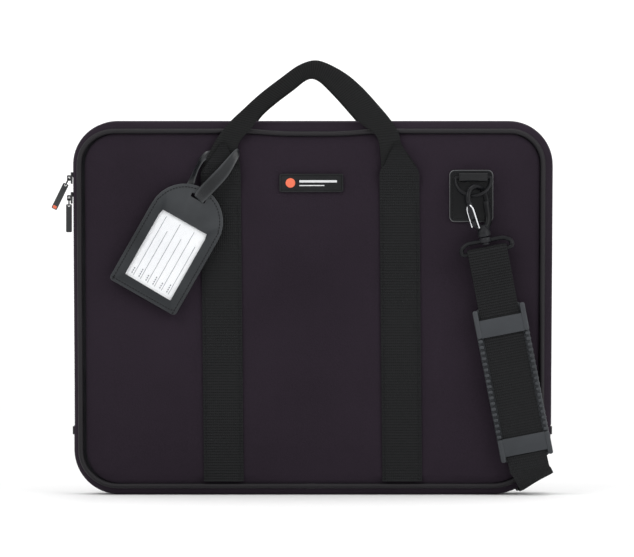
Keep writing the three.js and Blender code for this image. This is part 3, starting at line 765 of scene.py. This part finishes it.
def add_walls():
    def front_rim(s):
        lift = RIM_LIFT * (1 - 0.7 * left_share(s))
        seam = welt_inset(s) - WELT_RADIUS + 0.6
        return skin([(seam, -22.6), (seam - 2.0, -21.4), (1.4 - lift, -19.6), (0.3 - lift, -17.9),
                     (0.3 - lift * 0.9, -16.4), (0.9, -15.2)], 0.8)

    def back_rim(s):
        lift = 2.0 * RIM_LIFT * (1 - 0.7 * left_share(s))
        seam = welt_inset(s) - WELT_RADIUS + 0.6
        return skin([(0.9, -3.4), (0.2, -2.0), (-lift * 0.6, 2.0), (-lift, 8.0), (-lift * 0.85, 13.0),
                     (0.8 - lift * 0.5, 17.5), (seam - 3.0, 20.4), (seam, 22.6)], 0.8)

    def base(s):
        foot = max(-s[3], 0.0)  # 1 along the underside, where the bag stands
        lift = RIM_LIFT * (1 - foot) * 0.8
        low = 0.15 - lift
        seam = welt_inset(s) - WELT_RADIUS + 0.6
        return skin([(seam, -22.6), (seam - 2.0, -21.4), (low + 1.5, -19.6), (low + 0.2, -17.6), (low, -14.0),
                     (low, -7.0), (low, 0.0), (low, 7.0), (low, 14.0), (low + 0.2, 17.6), (low + 1.5, 19.6),
                     (seam - 2.0, 21.4), (seam, 22.6)], 0.9)

    front = sweep(Shape(), arch(), front_rim).build("front_rim_cloth", SHELL_CLOTH)
    finish(front, "front_shell", "shell_cloth")
    gusset = sweep(Shape(), arch(), back_rim).build("gusset_cloth", SHELL_CLOTH)
    finish(gusset, "root", "shell_cloth", "gusset")
    bottom = sweep(Shape(), trough(), base).build("bottom_gusset_cloth", SHELL_CLOTH)
    bend(bottom, ("front_shell", "root"), (0, -20, 0), (0, 4, 0), "shell_cloth", "bottom_gusset")


TOOTH_PITCH = 1.8
TOOTH_HALF = 1.8


def add_zip():
    stations = arch(TOOTH_PITCH)
    for side, edge, lip in ((FRONT, -16.6, -14.4), (BACK, -3.6, -9.8)):
        word, body, sign = WORD[side], SHELL[side], side
        tongue = ZIP_Y + sign * 0.25  # the tape runs on behind the teeth to the middle of the zip
        tape = sweep(Shape(), arch(), lambda s: [
            (1.0, edge), (0.75, (edge + lip) / 2), (0.8, lip), (1.55, lip - sign * 0.5), (1.6, tongue),
            (2.05, tongue), (2.05, lip), (1.55, (edge + lip) / 2), (1.6, edge)])
        finish(tape.build(f"zip_tape_{word}_weave", TAPE), body, "zip_tape", f"zip_tape_{word}")
        teeth = Shape()
        middle = ZIP_Y + sign
        for i, station in enumerate(stations[:-1]):
            if (i % 2 == 0) == (sign > 0):
                continue
            after = stations[i + 1]
            direction = put(after, 0, 0) - put(station, 0, 0)
            if direction.length < 0.3:
                continue
            direction.normalize()
            out = Vector((station[2], 0, station[3]))
            at = put(station, 0.55, middle)
            rings = []
            for share, size in ((-1.0, 0.55), (-0.6, 1.0), (0.6, 1.0), (1.0, 0.55)):
                core = at + Vector((0, TOOTH_HALF * share, 0))
                rings.append([core + direction * (0.62 * size * math.cos(t)) + out * (size * math.sin(t))
                              for t in (math.pi * k / 4 for k in range(8))])
            teeth.loft(rings)
        finish(teeth.build(f"zip_teeth_{word}", TEETH), body, "zip_teeth", f"zip_coil_{word}")
        sewn = Shape()
        row_y = edge - sign * 1.0
        path = [put(s, 0.45 if sign < 0 else 0.55, row_y) for s in arch(6.0)]
        for a, b in zip(path, path[1:]):
            middle_at = (a + b) / 2
            out = Vector((middle_at.x, 0, middle_at.z - HEIGHT / 2)).normalized()
            stitches(sewn, [a, b], out, length=2.4, gap=1.6, radius=0.22)
        finish(sewn.build(f"zip_seam_{word}", THREAD), body, "zip_tape")


add_panel(FRONT)
add_panel(BACK)
for face_side in (FRONT, BACK):
    add_lining(face_side)
    add_welt(face_side)
add_walls()
add_zip()


# ---- carry webbing ----
BAND_FOOT = PANEL_INSET + 1.6
FLAP_TOP = 336


def add_bands(side):
    word = WORD[side]
    for hand, sign in (("left", -1), ("right", 1)):
        x = BAND_X[hand]
        controls = []
        for z, out, width in ((BAND_FOOT, 25.6, BAND), (60, 26.0, BAND), (150, 26.2, BAND),
                              (240, 26.2, BAND), (284, 26.3, BAND), (298, 28.2, BAND),
                              (309, 31.0, BAND - 1), (316, 31.8, BAND - 11), (324, 32.0, 18),
                              (331, 32.0, 10), (FLAP_TOP, 31.8, 4.5)):
            shift = BAND_SPLAY * (1 - min(z, 312) / 156) - sign * 0.1 * max(z - 312, 0)
            controls.append([x + shift, side * out, z, 1, 0, 0, width])
        band = webbing(Shape(), controls, 2.0).build(f"{word}_band_{hand}_webbing", WEBBING)
        finish(band, SHELL[side], "webbing", f"{word}_band_{hand}")
        sewn = Shape()
        for edge in (-1, 1):
            offset = x + edge * (BAND / 2 - 2.6)
            path = [Vector((offset + BAND_SPLAY * (1 - z / 156), side * (out + 1.02), z))
                    for z, out in ((BAND_FOOT + 1, 25.7), (60, 26.0), (150, 26.2), (240, 26.2), (283, 26.3))]
            stitches(sewn, path, Vector((0, side, 0)))
        finish(sewn.build(f"{word}_band_{hand}_seams", THREAD), SHELL[side], "webbing")


# Where the folded handle webbing runs: its outer and inner edge, from the left band to the right.
HANDLE_EDGES = [
    ((-106.5, 304), (-68.8, 304)), ((-105.5, 313), (-69.0, 314)), ((-97.5, 329), (-71.6, 327)),
    ((-90.2, 342), (-69.0, 338)), ((-78.7, 356.3), (-57.5, 351)), ((-67, 367.5), (-49.0, 363.5)),
    ((-50, 383), (-35.6, 375.6)), ((-30, 398.4), (-18.5, 388.6)), ((-13.7, 410), (-7.6, 397.2)),
    ((1.0, 415.0), (-0.4, 399.6)), ((14, 412.2), (7.4, 396.2)), ((32.2, 402.2), (17.4, 386.6)),
    ((47.5, 389.2), (27.6, 375.6)), ((61.9, 373.5), (37.4, 364.4)), ((74.4, 358.6), (46.4, 354.6)),
    ((82.4, 345.4), (60.6, 343.4)), ((85.6, 334), (64.4, 331)), ((99.0, 314), (65.6, 315)),
    ((101.5, 304), (65.7, 304)),
]


def add_handle(side):
    word = WORD[side]
    middle_y = 29.3
    rows = curve([[a[0], 0, a[1], b[0], b[1]] for a, b in HANDLE_EDGES], RIB / 4)
    rings = []
    for i, (ax, _, az, bx, bz) in enumerate(rows):
        outer, inner = Vector((ax, 0, az)), Vector((bx, 0, bz))
        along = min(i, len(rows) - 1 - i) * RIB / 4
        fold = smooth(14, 44, along)
        half = 1.0 + 0.75 * fold
        lift = 0.2 * (0.5 + 0.5 * math.cos(math.pi * i / 2))
        y = side * (middle_y - 0.3 * (1 - fold))
        ring_out, ring_in = [], []
        columns = 8
        for k in range(columns + 1):
            t = k / columns
            at = outer.lerp(inner, t)
            bulge = half - lift
            if t == 0:
                bulge *= 0.25
            elif k == 1:
                bulge *= 0.85
            elif k == columns:
                bulge *= 0.5
            crease = 0.35 * fold * math.exp(-((t - 0.62) / 0.08) ** 2)
            ring_out.append(at + Vector((0, y + side * (bulge - crease), 0)))
            ring_in.append(at + Vector((0, y - side * bulge, 0)))
        rings.append(ring_out + ring_in[::-1])
    piece = Shape().loft(rings).build(f"{word}_handle_webbing", HANDLE_WEBBING)
    hinge = side * middle_y
    bend(piece, (SHELL[side], f"{word}_handle"), (0, hinge, 346), (0, hinge, 364), "webbing",
         f"{word}_handle", f"handle_root_{word}_left", f"handle_root_{word}_right")


for face_side in (FRONT, BACK):
    add_bands(face_side)
    add_handle(face_side)


# ---- badge ----
def add_badge():
    low, high = label_box
    here = Matrix.Identity(4)
    outline = rectangle(low.x, low.z, high.x, high.z, 2.0)
    badge = Shape()
    plate(badge, outline, low.y + 0.7, high.y, 0.4, here)
    hole = rectangle(low.x + 1.3, low.z + 1.3, high.x - 1.3, high.z - 1.3, 1.2)
    framed(badge, outline, hole, low.y, low.y + 1.0, 0.2, here)
    finish(badge.build("badge_plate", BADGE), "front_shell", "moulded", "label_plate")
    middle = (low + high) / 2
    turn = Matrix.Rotation(math.radians(90), 4, "X")
    emblem = Shape()
    place = Matrix.Translation((low.x + 10.5, low.y + 0.55, middle.z)) @ turn
    turned(emblem, place, [(4.4, -0.3), (4.6, 0.1), (4.4, 0.45), (3.6, 0.5)], sides=28)
    finish(emblem.build("badge_spot", CORAL), "front_shell", "moulded")
    strokes = Shape()
    for end, foot, head in ((high.x - 6, 0.4, 2.6), (high.x - 18, -3.0, -2.0)):
        block(strokes, here, (low.x + 19, low.y + 0.15, middle.z + foot),
              (end, low.y + 0.8, middle.z + head), 0.2)
    finish(strokes.build("badge_bars", PALE), "front_shell", "moulded")


# ---- luggage tag ----
TAG_LEAN = math.radians(29.6)
TAG_AT = Vector((-133, -38.6, 240.6))
TAG_HALF, TAG_LOW, TAG_ROUND = 36.3, -59.75, 23.45
WINDOW = (-25, -49, 25, 23)


def tag_outline(inset):
    """The tag's rim: square at its foot and round at its head."""
    half = TAG_HALF - inset
    points = []
    for sign, first in ((1, -90), (-1, 180)):
        corner = [(sign * (half - 4), TAG_LOW + inset + 4, 4, first)]
        head = [(0, TAG_ROUND, half, 0 if sign > 0 else 90)]
        parts = corner + head if sign > 0 else head + corner
        for cx, cz, radius, begin in parts:
            count = 6 if radius == 4 else 8
            for k in range(count + (0 if radius == 4 else 1 if sign < 0 else 0)):
                turn = math.radians(begin + 90 * k / count)
                points.append((cx + radius * math.cos(turn), cz + radius * math.sin(turn)))
    return points


def tag_window(inset):
    """The window's rim with as many points as the tag's."""
    x0, z0, x1, z1 = (WINDOW[0] + inset, WINDOW[1] + inset, WINDOW[2] - inset, WINDOW[3] - inset)
    outer = tag_outline(0)
    centre = Vector(((x0 + x1) / 2, (z0 + z1) / 2))
    half = Vector(((x1 - x0) / 2, (z1 - z0) / 2))
    points = []
    for x, z in outer:
        ray = Vector((x - centre.x, z - centre.y))
        reach = min(half.x / max(abs(ray.x), 1e-6), half.y / max(abs(ray.y), 1e-6))
        points.append((centre.x + ray.x * reach, centre.y + ray.y * reach))
    return points


def add_tag():
    place = Matrix.Translation(TAG_AT) @ Matrix.Rotation(TAG_LEAN, 4, "Y")
    front = framed(Shape(), tag_outline, tag_window, 0.0, 1.5, 0.5, place)
    front = front.build("tag_front_leather", TAG_LEATHER)
    back = plate(Shape(), tag_outline, 5.1, 3.5, 0.5, place).build("tag_back_leather", TAG_LEATHER)
    cutter = Shape()
    block(cutter, place, (-7.6, -4, 47.2), (7.6, 9, 51.2), 0.8)
    cutter = cutter.build("slot_cutter", TAG_LEATHER)
    for leather in (front, back):
        cut = leather.modifiers.new("slot", "BOOLEAN")
        cut.operation = "DIFFERENCE"
        cut.object = cutter
        bpy.context.view_layer.update()
        solid = bpy.data.meshes.new_from_object(leather.evaluated_get(bpy.context.evaluated_depsgraph_get()))
        leather.modifiers.remove(cut)
        out = place.to_3x3() @ Vector((0, -1, 0))
        for face in solid.polygons:
            face.use_smooth = abs(face.normal.dot(out)) < 0.97
        leather.data = solid
    bpy.data.objects.remove(cutter)
    finish(front, "luggage_tag", "tag_leather", "tag_front")
    finish(back, "luggage_tag", "tag_leather", "tag_back")
    gusset = Shape()
    tube(gusset, [place @ Vector((x, 2.5, z)) for x, z in tag_outline(1.4)], 1.1, 1.05,
         place.to_3x3() @ Vector((0, 1, 0)), closed=True, sides=8)
    finish(gusset.build("tag_edge_binding", TAG_LEATHER), "luggage_tag", "tag_leather")
    sewn = Shape()
    out = place.to_3x3() @ Vector((0, -1, 0))
    line = [place @ Vector((x, 0.02, z)) for x, z in tag_outline(3.2)]
    stitches(sewn, line + line[:1], out, length=2.2, gap=1.0, radius=0.4)
    x0, z0, _, z1 = WINDOW
    finish(sewn.build("tag_stitches", THREAD), "luggage_tag", "tag_leather")
    film, card = frame["nodes"]["tag_window"], frame["nodes"]["tag_card"]
    film.data.materials.clear()
    film.data.materials.append(FILM)
    card.data.materials.clear()
    card.data.materials.append(PAPER)
    rules = Shape()
    for i in range(6):
        x = x0 + 7 + i * 7.6
        block(rules, place, (x, 2.45, z0 + 4), (x + 0.45, 2.62, z1 - 4 - (12 if i % 2 else 0)), 0.05)
        for k in range(3 + i % 2):
            z = z0 + 5 + k * 2.3
            block(rules, place, (x - 2.6, 2.45, z), (x - 1.5, 2.62, z + 1.5), 0.05)
    finish(rules.build("tag_card_rules", INK), "luggage_tag", "paper")


def add_tag_strap():
    """The strap leaves the slot, runs up to the handle's left leg, round its edge and back behind it."""
    controls = [(-106.5, -33.0, 279.4, 0.72, 0, -0.7, 11), (-108.2, -36.0, 281.2, 0.72, 0, -0.7, 11),
                (-107.6, -40.2, 283.2, 0.72, 0, -0.7, 11), (-102, -41.2, 290, 0.72, 0, -0.7, 12.5),
                (-86, -39.2, 307, 0.75, 0, -0.66, 12), (-76.5, -36.0, 320, 0.7, 0, -0.7, 9),
                (-71.8, -32.4, 326.4, 0.5, 0, -0.86, 7.5), (-70.6, -29.2, 327, 0.1, 0, -1, 7),
                (-72.0, -26.9, 326.6, 0, 0, -1, 7), (-78, -26.5, 326, 0, 0, -1, 8),
                (-97, -26.8, 325, 0, 0, -1, 8),
                (-104, -28.8, 322, 0.3, -0.6, -0.7, 8), (-110, -32.6, 312, 0.42, -0.85, -0.2, 8),
                (-114.5, -33.4, 301, 0.6, -0.7, -0.3, 8), (-117, -32.4, 294, 0.8, -0.3, -0.5, 8)]
    strip = webbing(Shape(), controls, 1.1, rib=4.0, lift=0.0, columns=6)
    bend(strip.build("tag_strap_leather", STRAP_LEATHER), ("front_shell", "luggage_tag"), (-84, -36, 313),
         (-106, -36, 286), "tag_leather", "tag_strap")


add_badge()
add_tag()
add_tag_strap()


# ---- D-rings, hooks and clips ----
HOOK_TURN = math.radians(42)
HOOK_ARC = 12.0
HOOK_CENTRE = 33
DRING_TILT = math.radians(26)
DRING_HALF = 16.8
DRING_WIRE = 1.7
CLIP_BAR = -17.6
LOOP_HALF = 24.5
LOOP_WIRE = 2.1


def add_anchor(prefix, side):
    body = SHELL[side]
    place = anchor_frame(prefix, side)
    patch = Shape()
    outline = rectangle(-22.8, -42.3, 19.2, 7.4, 5)
    plate(patch, outline, 4.1, 5.9, 0.6, place, dome=0.35)
    patch = patch.build(f"dring_patch_{prefix}_leather", GLOSS)
    finish(patch, body, "gloss_leather", f"dring_patch_{prefix}")
    sewn = Shape()
    line = [place @ Vector((x, 4.0, z)) for x, z in outline(3.0)]
    stitches(sewn, line + line[:1], place.to_3x3() @ Vector((0, -1, 0)), length=2.2, gap=1.2, radius=0.32)
    finish(sewn.build(f"dring_patch_{prefix}_stitches", THREAD), body, "gloss_leather")

    tilted = place @ Matrix.Rotation(-DRING_TILT, 4, "X")
    bow = [math.pi + math.pi * k / 18 for k in range(19)]
    path = [Vector((DRING_HALF * math.cos(t), 0, -3 + 16.3 * math.sin(t))) for t in bow]
    corners = [Vector((x, 0, z)) for x, z in ((DRING_HALF, -3), (DRING_HALF, 0),
                                              (-DRING_HALF, 0), (-DRING_HALF, -3))]
    path += rounded(corners, 2.6, closed=False)[1:-1]
    outward = tilted.to_3x3() @ Vector((0, 1, 0))
    ring = tube(Shape(), [tilted @ p for p in path], DRING_WIRE, DRING_WIRE, outward, closed=True)
    ring = ring.build(f"dring_{prefix}_wire", BLACK_METAL)
    finish(ring, f"dring_{prefix}", "black_metal", f"dring_{prefix}")


def add_clip(prefix, side):
    body = SHELL[side]
    place = clip_frame(prefix, side)
    turned_frame = place @ Matrix.Rotation(HOOK_TURN, 4, "Z")
    across = turned_frame.to_3x3() @ Vector((0, 1, 0))
    hook = Shape()
    spine = [Vector((0, 0, 4.5)), Vector((7.5, 0, 6.5)), Vector((HOOK_ARC, 0, 15)), Vector((HOOK_ARC, 0, 24))]
    path = rounded(spine, 7, closed=False)
    path += [Vector((HOOK_ARC * math.cos(t), 0, HOOK_CENTRE + HOOK_ARC * math.sin(t)))
             for t in (math.pi * k / 16 for k in range(17))]
    path.append(Vector((-HOOK_ARC, 0, 31.2)))
    tube(hook, [turned_frame @ p for p in path], 2.6, 2.6, across, sides=14)
    limb = curve([[3.2, 0, 3.8], [7.4, 0, 8.0], [10.0, 0, 14], [10.6, 0, 20], [11.4, 0, 29]], 2.0)
    tube(hook, [turned_frame @ Vector(p) for p in limb], 3.7, 2.7, across, sides=16)
    lug = rounded([Vector((0, 0, 5)), Vector((-6.5, 0, 6.5)), Vector((-10.4, 0, 12.0))], 4, closed=False)
    tube(hook, [turned_frame @ p for p in lug], 2.9, 2.2, across)
    turned(hook, turned_frame, [(4.2, -4), (6.0, -3.2), (6.2, 0), (5.6, 3.4), (3.0, 6.4)])
    turned(hook, turned_frame, [(1.4, -11.7), (3.4, -11.4), (3.8, -10.7),
                                (3.6, -9.7), (2.3, -9.5), (2.3, -3.9)])
    finish(hook.build(f"hook_{prefix}_body", BLACK_METAL), f"hook_{prefix}", "black_metal", f"hook_{prefix}")

    spring = Shape()
    legs = [Vector(p) for p in ((-8.6, -4.0, 5.5), (-11.8, -3.9, 25.5), (-12.4, 0, 30.0),
                                (-12.2, 4.2, 25.5), (-9.6, 4.4, 7.5))]
    tube(spring, [turned_frame @ p for p in rounded(legs, 3.6, closed=False)], 0.85, 0.8,
         turned_frame.to_3x3() @ Vector((1, 0, 0)), sides=10)
    finish(spring.build(f"gate_{prefix}_spring", STEEL), f"gate_{prefix}", "spring_steel")

    loop = Shape()
    corners = [Vector((x, 0, z)) for x, z in ((-18, -7.4), (18, -7.4), (LOOP_HALF, -11.5),
                                              (LOOP_HALF, CLIP_BAR), (-LOOP_HALF, CLIP_BAR),
                                              (-LOOP_HALF, -11.5))]
    outward = place.to_3x3() @ Vector((0, 1, 0))
    tube(loop, [place @ p for p in rounded(corners, 4)], LOOP_WIRE, LOOP_WIRE, outward, closed=True)
    collar = [(2.9, -9.0), (4.9, -9.2), (5.5, -8.4), (5.5, -5.2), (4.9, -4.4), (2.9, -4.6)]
    turned(loop, place, collar, hollow=True)
    finish(loop.build(f"clip_loop_{prefix}_ring", BLACK_METAL), body, "black_metal", f"clip_loop_{prefix}")


for clip_name, clip_side in (("front", FRONT), ("rear", BACK)):
    add_anchor(clip_name, clip_side)
    add_clip(clip_name, clip_side)


# ---- shoulder strap: wraps the sloping corner of the bag, then runs up the back ----
FOLD_SLOPE = math.radians(31)
FOLD_RADIUS = 16
FOLD_DRIFT = 2
STRAP_CORNER = Vector((213, 0, 12.6))
SLEEVE = 3.9
fold_axis = Vector((math.cos(FOLD_SLOPE), 0, math.sin(FOLD_SLOPE)))
fold_out = Vector((math.sin(FOLD_SLOPE), 0, -math.cos(FOLD_SLOPE)))
front_clip = clip_frame("front", FRONT)
rear_clip = clip_frame("rear", BACK)
down_front = -(front_clip.to_3x3() @ Vector((0, 0, 1)))
along_fold = down_front.dot(fold_axis)
around_fold = down_front.dot(fold_out)


def corner_run():
    """Places and directions across, from the front's straight run to the rear's."""
    reach = STRAP_Y - FOLD_RADIUS
    arc = FOLD_RADIUS * math.pi / 2
    total = 2 * arc + 2 * reach
    rows = []
    for i in range(19):
        run = total * i / 18
        if run < arc:
            angle = run / FOLD_RADIUS
            y, out = -reach - FOLD_RADIUS * math.cos(angle), FOLD_RADIUS * (math.sin(angle) - 1)
        elif run > total - arc:
            angle = math.pi - (total - run) / FOLD_RADIUS
            y, out = reach - FOLD_RADIUS * math.cos(angle), FOLD_RADIUS * (math.sin(angle) - 1)
        else:
            angle, y, out = math.pi / 2, run - total / 2, 0
        turned_out = fold_out * math.cos(angle) + Vector((0, math.sin(angle), 0))
        drift = fold_axis * (FOLD_DRIFT * (1 - 2 * run / total))
        at = STRAP_CORNER + fold_out * out + Vector((0, y, 0)) + drift
        rows.append((at, fold_axis * around_fold - turned_out * along_fold))
    return rows


def sleeve_run(place, across):
    points = [(SLEEVE, -40), (SLEEVE, -32), (SLEEVE, CLIP_BAR)]
    for i in range(1, 6):
        angle = math.pi * i / 6
        points.append((SLEEVE * math.cos(angle), CLIP_BAR + SLEEVE * math.sin(angle)))
    points += [(-SLEEVE, CLIP_BAR), (-SLEEVE, -34), (-SLEEVE / 2, -43), (0, -52), (0, -60)]
    return [(place @ Vector((0, y, z)), across) for y, z in points]


def add_strap():
    corner = corner_run()
    front_across, rear_across = corner[0][1], corner[-1][1]
    front = sleeve_run(front_clip, front_across)
    rear = sleeve_run(rear_clip, rear_across)[::-1]

    def straight(a, b, count):
        return [(a[0].lerp(b[0], k / count), a[1].lerp(b[1], k / count)) for k in range(1, count)]

    route = front + straight(front[-1], corner[0], 6) + corner + straight(corner[-1], rear[0], 8) + rear
    controls = [[*at, *across.normalized(), STRAP] for at, across in route]
    piece = webbing(Shape(), controls, 2.0, columns=10).build("shoulder_strap_webbing", WEBBING)
    bend(piece, ("front_shell", "root"), (0, -30, 0), (0, 6, 0), "webbing", "shoulder_strap_front",
         "shoulder_strap_rear")
    doubled = [[*(rear_clip @ Vector((0, SLEEVE, z))), *rear_across.normalized(), STRAP]
               for z in (-41, -80, -130, -184)]
    tail = webbing(Shape(), doubled, 2.0, columns=10).build("strap_return_webbing", WEBBING)
    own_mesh(tail)
    finish(tail, "root", "webbing", "strap_return")


PAD_MIDDLE = -145
PAD_HALF_LENGTH = 75
PAD_HALF_WIDTH = 25
CROSSBANDS = (-90, -205)
RIBS = 18


def add_pad():
    place = front_clip
    pad = Shape()
    low_end, high_end = PAD_MIDDLE - PAD_HALF_LENGTH, PAD_MIDDLE + PAD_HALF_LENGTH
    outline = rectangle(-PAD_HALF_WIDTH, low_end, PAD_HALF_WIDTH, high_end, 9)
    base = STRAP_Y - FACE - 1
    plate(pad, outline, 1.6, base - 0.2, 2.4, place)
    top, foot = CROSSBANDS
    rail = PAD_HALF_WIDTH - 4.6
    for centre in CROSSBANDS:
        outline = rectangle(-rail - 0.6, centre - 8.5, rail + 0.6, centre + 8.5, 1.0)
        plate(pad, outline, -2.7, -1.4, 0.5, place)
    span = (top - foot - 17) / RIBS
    for sign in (-1, 1):
        x0, x1 = sorted((sign * rail, sign * (PAD_HALF_WIDTH + 0.2)))
        for centre, end in ((top, high_end), (foot, low_end)):
            toward = math.copysign(1, end - centre)
            z0, z1 = sorted((centre - toward * 8.4, end - toward * 1.5))
            block(pad, place, (x0, -3.5, z0), (x1, 3.4, z1), 1.3)
        for i in range(RIBS):
            z = foot + 8.5 + span * (i + 0.5)
            block(pad, place, (x0, -3.1, z - span * 0.29), (x1, 3.4, z + span * 0.29), 1.1)
    finish(pad.build("shoulder_pad_rubber", RUBBER), "shoulder_pad", "pad_rubber", "shoulder_pad")


add_strap()
add_pad()


# ---- inner pocket ----
def add_pocket():
    low, high = node_box("inner_pocket")
    columns, rows = 60, 34
    rings = []
    for r in range(rows + 1):
        z = low.z + (high.z - low.z) * r / rows
        front_row, back_row = [], []
        for c in range(columns + 1):
            x = low.x + (high.x - low.x) * c / columns
            loose = math.sin(math.pi * c / columns) * (0.35 + 0.65 * r / rows)
            edge = min(c, columns - c, r) / 6
            y = high.y - 0.6 - 2.2 * min(edge, 1) - 0.8 * loose
            y += 0.3 * noise.noise(Vector((x / 30, z / 30, 4.0)))
            hem = 0.5 if r >= rows - 2 else 0.0
            front_row.append(Vector((x, y - hem, z)))
            back_row.append(Vector((x, y + 0.6, z)))
        rings.append(front_row + back_row[::-1])
    pocket = Shape().loft(rings).build("inner_pocket_cloth", LINING)
    finish(pocket, "root", "lining_cloth", "inner_pocket")


add_pocket()

# ---- CAD pieces that keep their shape ----
FINISHES = {
    "zip_stop_left": TAB_LEATHER, "zip_stop_right": TAB_LEATHER, "zip_slider_upper": MOULDED,
    "zip_slider_lower": MOULDED, "zip_link_upper": BLACK_METAL, "zip_link_lower": BLACK_METAL,
    "zip_grip_upper": MOULDED, "zip_grip_lower": MOULDED, "dring_tab_front": TAB_LEATHER,
    "dring_tab_rear": TAB_LEATHER, "gate_front": BLACK_METAL, "gate_rear": BLACK_METAL,
    "strap_adjuster": MOULDED,
}
for name, finish_material in FINISHES.items():
    part = frame["nodes"][name]
    part.data.materials.clear()
    part.data.materials.append(finish_material)
    softened = part.modifiers.new("rolled edges", "BEVEL")
    softened.width = (0.25 if "link" in name else 0.5) * MM
    softened.segments = 2
    softened.limit_method = "ANGLE"
    softened.angle_limit = math.radians(35)


def add_pull_tip():
    swing = Matrix.Translation((-233.3, ZIP_Y, 303)) @ Matrix.Rotation(math.radians(26), 4, "Y")
    tip = Shape()
    block(tip, swing, (-2.0, -1.75, -32.4), (2.0, 1.75, -29.4), 0.5)
    finish(tip.build("zip_pull_tip", CORAL), "zip_pull_upper", "moulded")


add_pull_tip()


# ---- floor, light and camera ----
def add_stage():
    """A pale floor in metres that sweeps up far behind the bag and glows faintly away from it."""
    mesh = bpy.data.meshes.new("floor")
    work = bmesh.new()
    rows = []
    for y, z in ((-9, 0), (5.4, 0), (6.1, 0.06), (6.7, 0.3), (7.1, 0.8), (7.3, 1.6), (7.3, 5)):
        rows.append([work.verts.new((x, y, z - 0.0002)) for x in (-9, 9)])
    for a, b in zip(rows, rows[1:]):
        work.faces.new((a[0], a[1], b[1], b[0]))
    work.to_mesh(mesh)
    work.free()
    mesh.shade_smooth()
    floor = bpy.data.objects.new("floor", mesh)
    scene.collection.objects.link(floor)
    paint, tree, shader = start("pale_floor", 0.7, {"Base Color": (0.9, 0.9, 0.9, 1),
                                                    "Emission Color": (1, 1, 1, 1)})
    place = node(tree, "ShaderNodeTexCoord").outputs["Object"]
    away = node(tree, "ShaderNodeVectorMath", {0: place}, operation="LENGTH").outputs["Value"]
    glow = spread(tree, away, 0.0, 0.24, first=1.2, last=5.4)
    tree.links.new(glow, shader.inputs["Emission Strength"])
    mesh.materials.append(paint)

    world = bpy.data.worlds.new("studio")
    scene.world = world
    world.use_nodes = True
    world.node_tree.nodes["Background"].inputs["Color"].default_value = (1, 1, 1, 1)
    world.node_tree.nodes["Background"].inputs["Strength"].default_value = 0.9
    for name, at, size, power in (("key", (-1.4, -1.9, 2.1), 1.6, 23), ("fill", (1.9, -1.6, 1.3), 1.8, 20),
                                  ("top", (0.2, 0.3, 2.2), 1.6, 9)):
        lamp = bpy.data.lights.new(name, "AREA")
        lamp.size = size
        lamp.energy = power
        holder = bpy.data.objects.new(name, lamp)
        holder.location = at
        holder.rotation_euler = (Vector((0, 0, 0.2)) - Vector(at)).to_track_quat("-Z", "Y").to_euler()
        scene.collection.objects.link(holder)

    lens = bpy.data.cameras.new("camera")
    lens.lens = 271.8
    lens.sensor_width = 36
    holder = bpy.data.objects.new("camera", lens)
    holder.location = (0.0044, -4.6, 0.2067)
    holder.rotation_euler = (math.radians(90), 0, 0)
    scene.collection.objects.link(holder)
    scene.camera = holder
    scene.view_settings.view_transform = "Standard"


add_stage()
